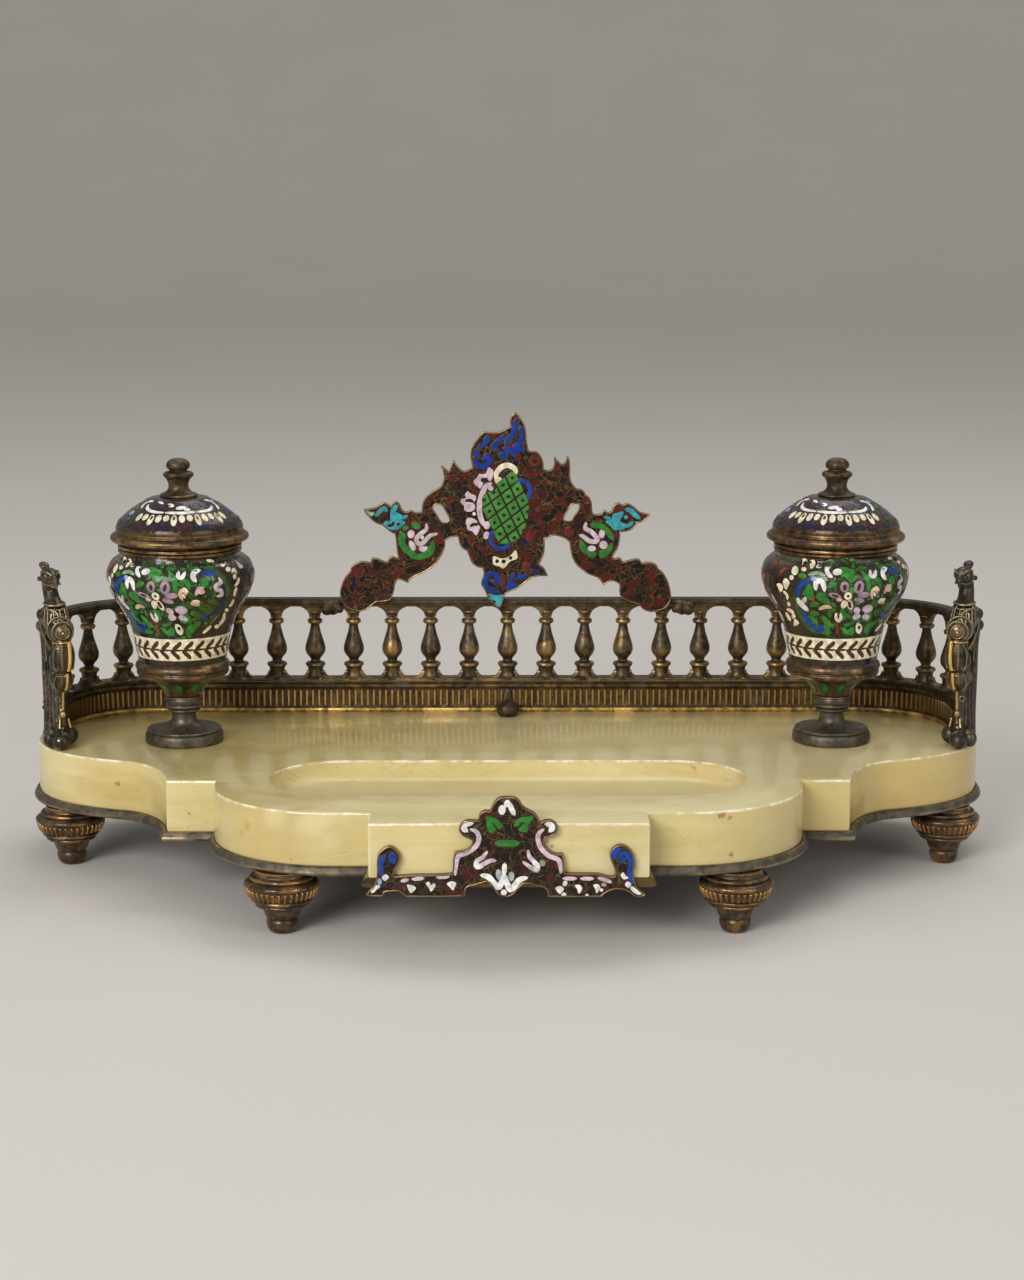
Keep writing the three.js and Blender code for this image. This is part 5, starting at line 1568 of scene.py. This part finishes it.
# Points left of the panel's flower are read from the right urn (R), and those right of it from the left one (L)
PANEL_CELLS = """
R azure 4.6 815,580.5 808,584 803.8,590 803,596.5
R sky o2.8x2.4@0 818.5,579.5
R white 5.2 820.5,590 820.3,584 823.5,580.8 827.5,584 829,591
R white 4.4 802.5,599.5 805.5,604.5 809.5,608 813,611.2
R lilac 4 810.3,598.5 808.8,602 805,606
R azure 4.6 809,612.5 811.5,620 817,627 823,631.2 829,630.5
R azure 3 826,625.5 828,630
R white 4 835.5,564.5 831,568.5 832,573.5 836,577.3
R white o4.6x3.2@-10 841.5,572
R white 3.6 873.6,570 874.6,575.3 878,575.3 879,570
R mauve o4.4x5.4@0 848.8,587
R plum^2 o1.2x2.8@0 849,587.5
R mauve o4.8x6.6@10 863,587
R plum^2 o1.1x3.8@15 863,587
R mauve o6x2.8@-10 868,594.5
R mauve o5x2.4@10 863.5,600
R mauve o6.6x2.4@15 839.5,596
R plum^2 o3.2x0.8@15 839.5,596
R pink o3x1.6@0 844,600
R cream o2.8x4.2@20 848.6,604.5
R cream o2.8x5@-15 854.6,605
R plum^2 o1.2x3.2@-15 854.2,604.5
R cream^2 o3.8x3.8@0 852.5,596
R dark^3 o0.9x0.9@0 852.5,596
R lilac o5.4x3.8@-25 872,608.5
R lilac o4.4x3@-40 861.5,616
R lilac o3.6x3.2@20 870.5,616.5
R lilac o3.2x3@0 861.5,610
R dark^2 o2.1x2.1@0 866.3,612.8
R peach 3.6 824.5,609.8 830,607.3 836,608
R cream 3 841,613.5 841.3,618.5 843.8,621 845.8,618 845.5,613.5
R cream = 862,623 865.5,624 867,629 864.5,633.5 861.5,631.5 860.8,626.5
R dark^2 o1.1x1.4@0 864,627
R peach 3 876.5,598 876,591.5 878.8,588 881.3,592
R peach o3.2x2@0 885,601.3
R peach o3x2.2@-20 892,588.6
R green o3.6x2.6@0 806.5,576.5
R green = 810,590 813,584.5 817.5,589 818,595 816.5,601 811,598 807.5,594
R green = 820.5,598 824,593.5 829.5,594.5 833.5,600 836,605 828,603.5
R green o4.6x2.6@0 819.5,605
R green = 832,588.5 834,584 838,582 841.3,584 838.5,587.5
R leaf = 845,564.5 849.5,563.5 852,568.5 857,569 858.5,572 855,575.5 860.5,577.5 857,581 850.5,576.5 845.5,576
R green o5x3.6@15 865.5,565.5
R green 4.4 872.5,575.5 872.3,583 873,590.5
R green = 815,612.5 820.5,611.5 824.3,615 819,617.5 823,621.5 822.5,626 817,620
R leaf = 827,616.5 830.5,617.5 836,623 839,627.5 832,626.5 828,621
R green 3 834.8,611 835,617.5
R green 4 846.3,609.5 849,615.5 848,620
R green 2.8 849.5,625.5 855,624 858.5,621.3
R green o5.4x2.2@0 831.5,632.8
R leaf = 846,628 850.5,628 852.5,630.5 856.5,627 859.3,628 858,634 853,635 849,632.5
R green = 868.5,633 870.5,626 874.5,622.5 877,624 874,630.5
R green o4.4x2@-10 871.5,619.5
R green o3.2x2.6@0 885,566
R green o2.6x3.6@0 874,615
R moss o4x3@10 878.5,604
R moss o4x4.6@0 890,606
R moss o3x3.4@0 883,612
R green o2.6x1.6@0 877,583
R sage 3.4 813,575.3 821,573.3 829,575.8
R moss 3 798.8,596 802.8,609.5 809,622 817,630.5 824.5,634
R rust 2.6 842.5,622.5 842.5,629 843,634
R rust 2.2 818.5,604 818.5,597
L leaf = 152,566 156,562.5 160.5,566 157,569.5
L leaf = 153,574 158,571.5 163,575 168,575.5 164,580 160,582 156,577.5
L green o4.4x3@0 166.5,564.5
L leaf = 171.5,570 175,572.5 178.5,577.5 176.5,583 173,578
L green = 183.5,580.5 189,579 193,584 192,590.5 188.5,585
L white 5 202.5,570.3 197.2,572.5 195.8,577 198.5,581.3
L azure 4.4 204.3,574 211,572.3 218.3,575.3
L lilac 4 221.3,578.5 223.5,583 218.2,586.3 219.5,590.3 223.3,591.5 223.8,595.5 219.5,596.8
L navy 4 226,588 227.6,596 224.5,604.5 218.5,611.5 211,616
L azure = 203.5,618 206,612.8 207.5,617 209.5,619 206,620
L moss 4.6 192,563.5 205,565.5 216.5,570.3 225.5,578.5 230,588.5 229,598
L cream o4.2x1.9@0 198,602
L cream 2.6 185.3,591.5 186.5,588.5 190.5,592
L cream 2.2 185.5,594 187.3,597.5
L pink = 199.5,587.3 206.5,587.5 204.5,591 201.3,591 199.5,595.5 197.3,594
L moss o4.4x3@0 209,607.5
L green o4x4.6@0 207,583
L moss o4.4x2.6@0 214,602
L green o3.6x2.2@0 196,613.5
L green = 191,632 191.5,626.5 198,623.5 203,622.5 198,628.5
"""
CHAIN_CELLS = """
R cream o3.2x3@0 807,562.5
R cream = 813,562 817.5,561.5 818.5,566 815,569.3
R cream o3.4x1.9@-15 823.5,566.5
R cream o2.6x2@0 808,570
R cream o3.2x4.6@10 799.3,571.5
R cream o2x2.4@0 796,578.6
R cream = 787.5,583 790.5,579.5 794,584 790.5,591
R cream = 781.5,586 785,584.8 788,588.5 785.5,593.5
R cream 2.4 788.5,592.5 792,596.5 792.5,600.5
R cream o1.6x2.4@-20 794,605.3
R cream 3 792.5,610.5 796.5,612 799,615
R cream 2.8 791.5,614 793.8,618 796,621.5
R cream o2x2.2@0 799,617.5
R cream = 800,620 804.5,623.5 803,626 799.5,626.5
R rust 3 784.5,575 788,570.5 793,569.5
R rust o2.4x2.8@0 780,563.5
L cream 2.8 211,561 218,562.3
L cream = 221.5,563 225.5,560.8 229,563.5 225.5,567.5
L cream o2.4x2.4@0 231,570
L cream 2.4 235,573.5 236.6,569.8 239,574
L cream o1.6x2.6@0 237.3,577.5
L cream 2.4 241.5,579 240.5,583 237.5,587
L cream 2.4 239,588.5 237,593.5 236.5,597
L cream 2.6 235.5,600.5 234,604.5 231.5,607.3
L cream o1.8x1.8@0 228.5,611
L cream 3 226.5,614 225,620 221,625.5
L cream o2.6x1.8@-20 218.5,627
L cream 2.6 212.5,626.5 208,630.5 204.5,633.3
L lilac = 238,560 242,564 246,567.5 242.5,569
"""


def ribbon(points, width):
    """The outline of a brush stroke along points: full in the middle, drawn in and rounded at its ends."""
    steps = 4
    if len(points) == 2:
        steps = 2
        points = [points[0], tuple((a + b) / 2 for a, b in zip(*points)), points[1]]
    line = flowing([points], steps)
    last = len(line) - 1

    def tip(end, before):
        ahead = (Vector(line[end]) - Vector(line[before])).normalized()
        return tuple(Vector(line[end]) + ahead * width * 0.26)

    left, right = [], []
    for i, (x, y) in enumerate(line):
        ahead = (Vector(line[min(i + 1, last)]) - Vector(line[max(i - 1, 0)])).normalized()
        half = width / 2 * (1 - 0.6 * abs(2 * i / last - 1) ** 4)
        left.append((x - ahead.y * half, y + ahead.x * half))
        right.append((x + ahead.y * half, y - ahead.x * half))
    return [tip(0, 1)] + left + [tip(last, last - 1)] + right[::-1]


def oval(place, across, up, degrees):
    a = math.radians(degrees)
    count = 10 if across + up < 5 else 16
    shape = []
    for k in range(count):
        x, y = across * math.cos(FULL * k / count), up * math.sin(FULL * k / count)
        shape.append((place[0] + x * math.cos(a) - y * math.sin(a), place[1] + x * math.sin(a) + y * math.cos(a)))
    return shape


def closed_shape(points):
    return flowing([[points[-1]] + points + points[:1]], 3)[3:-1]


def read_cells(table, place):
    """Cells from a table, each as (colour, layer, outline) laid out by place(u, v) or place(u, v, urn)."""
    cells = []
    for line in table.strip().splitlines():
        words = line.split()
        urn = words.pop(0) if words[0] in "LR" else ""
        colour, _, layer = words[0].partition("^")
        points = read_points(words[2:])
        if words[1] == "=":
            outline = closed_shape(points)
        elif words[1][0] == "o":
            sizes, _, degrees = words[1][1:].partition("@")
            outline = oval(points[0], *map(float, sizes.split("x")), float(degrees))
        else:
            outline = ribbon(points, float(words[1]))
        urns = (urn,) if urn else ()
        cells.append((colour, int(layer or 1), [place(*point, *urns) for point in outline]))
    return cells


# Cells, in millimetres: how much higher each layer lies, and each cell of a round of forty than the last, so that
# no two faces meet; how far wall and face lie from that; how wide and high a rim is; and how deep a cell goes
LAYER_LIFT = 0.06
NEXT_LIFT = 0.0004
LIFT_ROUND = 40
WALL_DROP = 0.028
FACE_RISE = 0.012
RIM_WIDTH = 0.09
RIM_RISE = 0.022
CELL_DEPTH = 0.14


def inlay(name, cells, lay, wall, cut=None, backed=True, grow=0.0):
    """Enamel cells in their bronze walls: drawn flat, their rims rounded and sunk, then laid by lay(s, t, h).

    Cut is the widest and tallest that a facet may be, so that the drawing bends where it is laid.
    """
    looks = ["wire"] + sorted({colour for colour, _, _ in cells})
    mesh = bmesh.new()
    for number, (colour, layer, outline) in enumerate(cells):
        outline = swollen(facing_right(outline), grow)
        lift = LAYER_LIFT * layer + NEXT_LIFT * (number % LIFT_ROUND)
        rows = [(swollen(outline, wall), lift - WALL_DROP, 0)] if backed else []
        rows.append((outline, lift + FACE_RISE, looks.index(colour)))
        for shape, height, look in rows:
            corners = [mesh.verts.new((s * MM, t * MM, height * MM)) for s, t in shape]
            face = mesh.faces.new(corners)
            face.material_index = look
    data = bpy.data.meshes.new(name)
    mesh.to_mesh(data)
    mesh.free()
    piece = bpy.data.objects.new(name, data)
    bpy.context.scene.collection.objects.link(piece)
    for look in looks:
        data.materials.append(finish[look])
    edit(piece)
    bpy.ops.mesh.inset(thickness=RIM_WIDTH * MM, depth=RIM_RISE * MM, use_individual=True, use_even_offset=False)
    bpy.ops.mesh.select_all(action="SELECT")
    bpy.ops.mesh.region_to_loop()
    bpy.ops.mesh.extrude_region_move(TRANSFORM_OT_translate={"value": (0, 0, -CELL_DEPTH * MM)})
    bpy.ops.mesh.select_all(action="SELECT")
    bpy.ops.mesh.quads_convert_to_tris(quad_method="BEAUTY", ngon_method="BEAUTY")
    for axis, step in enumerate(cut or ()):
        step = step * MM
        spread = [v.co[axis] for v in piece.data.vertices]
        low, high = min(spread), max(spread)
        normal = ((1, 0, 0), (0, 1, 0))[axis]
        for k in range(1, int((high - low) / step) + 1):
            bpy.ops.mesh.select_all(action="SELECT")
            at = low + k * step
            bpy.ops.mesh.bisect(plane_co=(at, at, 0), plane_no=normal)
    leave()
    for vertex in piece.data.vertices:
        s, t, h = vertex.co / MM
        vertex.co = Vector(lay(s, t, h)) * MM
    edit(piece)
    bpy.ops.mesh.normals_make_consistent(inside=False)
    leave()
    return smooth(piece, 50)


def clipped(shape, window):
    """The part of a shape that lies inside a window, corner by corner of the window."""
    for p, q in zip(window, window[1:] + window[:1]):
        kept = []
        edge = Vector(q) - Vector(p)
        for c, d in zip(shape, shape[1:] + shape[:1]):
            here, there = (edge.cross(Vector(point) - Vector(p)) for point in (c, d))
            if here >= 0:
                kept.append(c)
            if here * there < 0:
                kept.append(tuple(Vector(c).lerp(Vector(d), here / (here - there))))
        shape = kept
        if len(shape) < 3:
            break
    return shape


# The crest's trellis: its first diamond, its two steps, how far it runs, the share of a step that a diamond fills,
# and the areas from which one is kept and one has a dot
TRELLIS_START = (503.3, 486)
TRELLIS_STEPS = ((5.2, 11.2), (9.4, -7.3))
TRELLIS_RUN = 7
TRELLIS_SHARE = 0.76
LEAST_DIAMOND = 6
WHOLE_DIAMOND = 34


def trellis(outline):
    """Diamond cells of a trellis, each cut to an outline, with its middle and its area."""
    first, second = map(Vector, TRELLIS_STEPS)
    a, b = first * TRELLIS_SHARE / 2, second * TRELLIS_SHARE / 2
    diamonds = []
    for i in range(-TRELLIS_RUN, TRELLIS_RUN + 1):
        for j in range(-TRELLIS_RUN, TRELLIS_RUN + 1):
            middle = Vector(TRELLIS_START) + i * first + j * second
            window = facing_right([tuple(middle + p) for p in (a + b, b - a, -a - b, a - b)])
            shape = clipped(outline, window)
            area = abs(area_of(shape)) if len(shape) > 2 else 0
            if area > LEAST_DIAMOND:
                diamonds.append((tuple(middle), shape, area))
    return diamonds


def make_crest_enamel():
    cells = read_cells(CREST_CELLS, on_crest)
    cartouche = closed_shape([(496, 491), (485, 495), (483.5, 509), (490, 523), (495.5, 533), (499.5, 543.5),
                              (515, 541), (523, 532.5), (527.8, 518), (528.3, 503), (522, 489), (518, 478),
                              (509, 471.5), (501, 478)])
    cells.insert(0, ("dark", 1, [on_crest(*p) for p in cartouche]))
    for middle, shape, area in trellis(cartouche):
        cells.append(("leaf", 2, [on_crest(*p) for p in shape]))
        if area > WHOLE_DIAMOND:
            cells.append(("dark", 3, [on_crest(*p) for p in oval(middle, 1.3, 1.3, 0)]))
    return inlay("crest_inlay", cells, lambda s, t, h: (s, CREST_FACE_Y + 0.1 - h, t), 0.2, grow=0.16)


def make_mount_enamel():
    cells = read_cells(MOUNT_CELLS, on_mount)
    return inlay("mount_inlay", cells, lambda s, t, h: (s, MOUNT_FACE_Y + 0.1 - h, t), 0.24, grow=0.12)


# The urns' enamel is drawn unrolled: round the urn in millimetres at a set radius, and up

PANEL_RADIUS = 29.0
PANEL_ROUND = FULL * PANEL_RADIUS
PANEL_TURNS = {"left": math.radians(-4.7), "right": math.radians(11.7)}
LID_TURNS = {"left": math.radians(9.9), "right": math.radians(-11.4)}

# How the photograph sees an urn: its axis in the picture and the turn of its panel, then the eye's distance from
# the axis and height in millimetres, its tilt, and the picture's focal length and middle row
URN_AXES = {"L": (184.0, math.radians(-12.0)), "R": (839.0, math.radians(19.0))}
EYE_AWAY = 1082.4
EYE_Z = 300.6
TILT_COS, TILT_SIN = 0.98219, 0.1879
FOCAL = 2600
MIDDLE_ROW = 640.0


def along(profile, key, value, want):
    """Reads a profile at a height or a radius."""
    for a, b in zip(profile, profile[1:]):
        low, high = sorted((a[key], b[key]))
        if low <= value <= high and high > low:
            return a[want] + (b[want] - a[want]) * (value - a[key]) / (b[key] - a[key])
    ends = (profile[0], profile[-1])
    return min(ends, key=lambda end: abs(end[key] - value))[want]


def on_urn(u, v, urn):
    """Where a point of the photograph lies on an urn's skin: round it from its panel's middle, and up."""
    axis, turn = URN_AXES[urn]
    angle, z, radius = 0.0, 110.0, PANEL_RADIUS
    for _ in range(14):
        reach = EYE_AWAY - radius * math.cos(angle)
        deep = TILT_COS * reach - TILT_SIN * (z - EYE_Z)
        z = EYE_Z + ((MIDDLE_ROW - v) / FOCAL * deep - TILT_SIN * reach) / TILT_COS
        radius = along(BODY_SKIN, 1, min(max(z - BODY_Z, 0.0), 44.0), 0)
        across = (u - axis) * deep / FOCAL / radius
        angle = math.asin(min(max(across, -0.995), 0.995))
    return (angle - turn) * PANEL_RADIUS, z - BODY_Z


def round_urn(x, skin, base, turn):
    """Lays an unrolled drawing round an urn."""
    def lay(s, t, h):
        angle = s / PANEL_RADIUS + turn
        radius = along(skin, 1, min(max(t, 0.2), skin[-1][1]), 0) + h + 0.05
        return x + radius * math.sin(angle), URN_Y - radius * math.cos(angle), base + t
    return lay


BAND_LOW, BAND_HIGH, BAND_STEM = 2.7, 12.2, 7.3
BAND_PARTS = 24
LAUREL_SPRIGS = 26


def laurel_cells():
    """The cream band in parts, and on it a brown laurel: a stem with a leaf up and a leaf down at each sprig."""
    cells = []
    for k in range(BAND_PARTS):
        a, b = PANEL_ROUND * k / BAND_PARTS - 0.02, PANEL_ROUND * (k + 1) / BAND_PARTS + 0.02
        cells.append(("cream", 1, [(a, BAND_LOW), (b, BAND_LOW), (b, BAND_HIGH), (a, BAND_HIGH)]))
    pitch = PANEL_ROUND / LAUREL_SPRIGS
    wide = PANEL_RADIUS / 20.0
    for k in range(LAUREL_SPRIGS):
        s = k * pitch
        stem = [(s - 1.2 * wide, BAND_STEM - 0.1), (s + 1.0 * wide, BAND_STEM),
                (s + pitch - 1.0 * wide, BAND_STEM + 0.1)]
        cells.append(("brown", 2, ribbon(stem, 0.95)))
        for start, sign in ((0.0, 1), (-0.8, -1)):
            a = s + start * wide
            leaf = [(a, BAND_STEM), (a + 1.5 * wide, BAND_STEM + 1.5 * sign),
                    (a + 3.0 * wide, BAND_STEM + 2.8 * sign)]
            cells.append(("brown", 2, ribbon(leaf, 2.0)))
            cells.append(("brown", 2, oval((a + 2.7 * wide, BAND_STEM + 2.6 * sign), 1.9, 1.1, 32 * sign)))
    return cells


PANEL_EDGE = {
    "R": ((868, 560), (850, 558), (832, 561), (815, 572), (801, 585), (798, 597), (805, 616), (815, 629),
          (826, 635.5), (846, 637), (866, 637)),
    "L": ((204, 632), (218, 619), (230, 602), (233, 587), (222, 570), (204, 561)),
}
# Blossoms between the two panels: how high, how far to the side, how much turned, and the colour
BLOSSOMS = ((36, 2.5, -1, "rust"), (27, -2.0, 0, "lilac"), (19, 1.5, 1, "cream"))


def make_urn_enamel(side, x, turn):
    """The flowered panel in front and again behind, blossoms between them, and the laurel band below."""
    lay = round_urn(x, BODY_SKIN, BODY_Z, turn)
    edge = closed_shape([on_urn(u, v, urn) for urn, points in PANEL_EDGE.items() for u, v in points])
    panel = [("foliage", 1, edge)]
    for colour, layer, outline in read_cells(PANEL_CELLS, on_urn):
        panel.append((colour, layer + 1, outline))
    panel += read_cells(CHAIN_CELLS, on_urn)
    half = math.pi * PANEL_RADIUS
    cells = []
    for back in (0, 1):
        for colour, layer, outline in panel:
            cells.append((colour, layer, [(s + back * half, t) for s, t in outline]))
        for sign in (-1, 1):
            middle = back * half + sign * (0.5 * half - 1.5)
            for t, aside, turned_by, tone in BLOSSOMS:
                s = middle + aside * sign
                leaf = [(s + 1.4, t - 3.6), (s + 3.0 * sign, t - 1.2), (s + 2.6 * sign, t + 2.4)]
                stalk = [(s - 2.2 * sign, t - 3.6), (s - 3.4 * sign, t), (s - 1.2 * sign, t + 3.4)]
                cells.append((tone, 1, oval((s, t), 1.3, 2.4, 25 * sign * turned_by)))
                cells.append(("moss", 1, ribbon(leaf, 1.7)))
                cells.append(("plum", 1, ribbon(stalk, 1.5)))
    piece = inlay(f"{side}_urn_panel_inlay", cells, lay, 0.18, (2.4, 2.4), grow=0.06)
    band = inlay(f"{side}_urn_band", laurel_cells(), lay, 0.12, (2.4, 3.0), False)
    return united(f"{side}_urn_inlay", piece, band)


# The lid's drawing: degrees round it and millimetres from its axis

FESTOONS = (
    (1.3, (-58, 15.4), (-51, 17.4), (-38, 18.6), (-23, 18.8)),
    (1.4, (-20, 18.8), (0, 19.0), (17, 18.8)),
    (1.3, (20, 18.8), (36, 18.6), (46, 17.8), (51, 16.6)),
    (1.5, (57, 18.8), (64, 16.6), (62, 14.2), (52, 13.2)),
    (1.4, (-64, 17.6), (-70, 15.6), (-66, 13.8), (-56, 13.2)),
)
# Drops: the colour, layer, place, half sizes and lean
TOP_DROPS = (
    ("white", 2, -16, 15.0, 1.6, 1.0, 15), ("white", 2, 0, 16.4, 2.3, 1.0, -10),
    ("white", 2, 8, 17.4, 1.3, 0.9, 0), ("white", 2, -36, 13.6, 1.8, 0.6, 20),
)
SIDE_DROPS = (
    ("green", -100, 17.6, 1.9, 1.2), ("sky", -94, 20.6, 1.7, 1.2), ("green", 100, 17.4, 2.1, 1.2),
    ("sky", 92, 14.3, 1.4, 1.0), ("azure", 96, 20.8, 1.9, 1.2), ("moss", 88, 23.2, 1.8, 0.9),
    ("moss", -86, 23.2, 1.8, 0.9),
)
DOME_EDGE = 26.2
PETALS_EACH_SIDE = 6
PETAL_PITCH = 8.6


def make_lid_enamel(side, x, turn):
    """The lid's dome: white festoons, a fan of cream petals under each, and leaves between them."""
    def lay(s, t, h):
        angle = math.radians(s) + turn
        radius = min(t, DOME_EDGE)
        out = radius + 0.5 * h
        z = DOME_Z + along(DOME_SKIN, 0, radius, 1) + h + 0.05
        return x + out * math.sin(angle), URN_Y - out * math.cos(angle), z

    cells = []

    def stroke(colour, points, width):
        middle = sum(r for _, r in points) / len(points)
        stretch = math.degrees(1 / middle)
        flat = [(a / stretch, r) for a, r in points]
        cells.append((colour, 1, [(a * stretch, r) for a, r in ribbon(flat, width)]))

    def drop(colour, layer, a, r, wide, long, lean=0.0):
        stretch = math.degrees(1 / r)
        cells.append((colour, layer, [(p * stretch, q) for p, q in oval((a / stretch, r), wide, long, lean)]))

    for back in (0, 180):
        for width, *points in FESTOONS:
            stroke("white", [(back + a, r) for a, r in points], width)
        for colour, layer, a, *form in TOP_DROPS:
            drop(colour, layer, back + a, *form)
        for a in (-44, -24, 22, 42):
            drop("plum", 1, back + a, 15.5, 2.8, 1.7)
            drop("navy", 2, back + a + 2, 15.2, 1.8, 0.8)
        for k in range(-PETALS_EACH_SIDE, PETALS_EACH_SIDE + 1):
            a = PETAL_PITCH * k
            long = (1.8, 1.5, 2.4)[k % 3]
            drop("cream", 1, back + a, 20.0 + long, 1.32, long)
            if k % 3 == 2:
                drop("brown", 2, back + a, 21.6, 0.45, 0.8)
        for colour, a, *form in SIDE_DROPS:
            drop(colour, 1, back + a * 0.78, *form)
        for k in range(-4, 5):
            a = back + 20 * k
            stroke("navy" if k % 2 else "plum", [(a - 7, 24.7), (a, 25.6), (a + 7, 24.6)], 0.8)
    return inlay(f"{side}_lid_inlay", cells, lay, 0.2, (6.0, 2.0))


CUP_SKIN = ((8.0, 0.7), (8.8, 2.2), (10.2, 4.4), (12.6, 6.7), (15.4, 8.3))
CUP_LEAVES = 10


def make_cup_enamel(side, x, turn):
    """Moss lozenges with a green heart round the cup."""
    cells = []
    for k in range(CUP_LEAVES):
        s = k * (PANEL_ROUND / CUP_LEAVES)
        lozenge = [(s, 2.0), (s + 5.0, 3.4), (s + 4.4, 6.2), (s, 7.6), (s - 4.4, 6.2), (s - 5.0, 3.4)]
        cells.append(("moss", 1, closed_shape(lozenge)))
        cells.append(("green", 2, closed_shape([(s, 3.0), (s + 2.2, 4.8), (s, 6.4), (s - 2.2, 4.8)])))
    return inlay(f"{side}_cup_inlay", cells, round_urn(x, CUP_SKIN, CUP_Z, turn), 0.3, (3.0, 1.2))


shown(make_crest_enamel(), "stand", "dark_enamel")
shown(make_mount_enamel(), "stand", "dark_enamel")
for side, x in (("left", -URN_X), ("right", URN_X)):
    shown(make_urn_enamel(side, x, PANEL_TURNS[side]), "stand", "green_enamel")
    shown(make_cup_enamel(side, x, PANEL_TURNS[side]), "stand", "green_enamel")
    shown(make_lid_enamel(side, x, LID_TURNS[side]), side + "_lid", "dark_enamel")


# Floor, light and camera


# In metres: the floor, the wall behind it and the sweep between them, and where the camera stands
FLOOR_SIZE = 12
WALL_HEIGHT = 3
SWEEP = 2.5
CAMERA_PLACE = (-0.003, -1.0465, 0.3006)
CAMERA_TURN = (79.17, 0, -0.25)
CAMERA_LENS = 73.1
LAMPS = (
    ("key_window", (-0.9, -1.7, 0.95), (1.0, 0.9), 31),
    ("fill_window", (1.3, -1.2, 0.8), (0.8, 0.8), 5),
    ("back_window", (0.3, 0.7, 1.5), (1.2, 0.6), 7),
)


def make_stage():
    """A pale floor that sweeps up behind the inkstand as a pale wall."""
    put_down()
    bpy.ops.mesh.primitive_plane_add(size=FLOOR_SIZE)
    stage = bpy.context.object
    stage.name = "plain_stage"
    edit(stage, "DESELECT")
    mesh = bmesh.from_edit_mesh(stage.data)
    for rim in mesh.edges:
        rim.select = all(v.co.y > 0 for v in rim.verts)
    mesh.select_flush(True)
    bmesh.update_edit_mesh(stage.data)
    bpy.ops.mesh.extrude_region_move(TRANSFORM_OT_translate={"value": (0, 0, WALL_HEIGHT)})
    leave()
    apply_modifier(stage, "BEVEL", width=SWEEP, segments=24, limit_method="ANGLE")
    smooth(stage, 60)
    f = Finish("pale_stage")
    tone = f.mix(f.noise(5, 4), (0.60, 0.57, 0.53), (0.64, 0.61, 0.57))
    stage.data.materials.append(f.wear(Base_Color=tone, Roughness=0.7, Normal=f.bump(f.noise(300, 3), 0.0005, 0.2)))


def make_lights():
    world = bpy.data.worlds.new("soft_room")
    bpy.context.scene.world = world
    world.use_nodes = True
    background = world.node_tree.nodes["Background"]
    background.inputs[0].default_value = (0.86, 0.85, 0.83, 1)
    background.inputs[1].default_value = 0.5
    for name, place, (wide, high), power in LAMPS:
        data = bpy.data.lights.new(name, "AREA")
        data.shape = "RECTANGLE"
        data.size = wide
        data.size_y = high
        data.energy = power
        lamp = bpy.data.objects.new(name, data)
        bpy.context.scene.collection.objects.link(lamp)
        lamp.location = place
        aim = Vector((0, 0, 0.07)) - Vector(place)
        lamp.rotation_euler = aim.to_track_quat("-Z", "Y").to_euler()


def make_camera():
    data = bpy.data.cameras.new("camera")
    data.lens = CAMERA_LENS
    data.sensor_width = 36
    data.sensor_height = 36
    camera = bpy.data.objects.new("camera", data)
    bpy.context.scene.collection.objects.link(camera)
    camera.location = CAMERA_PLACE
    camera.rotation_euler = [math.radians(turn) for turn in CAMERA_TURN]
    bpy.context.scene.camera = camera


make_stage()
make_lights()
make_camera()
bpy.context.scene.view_settings.view_transform = "Standard"
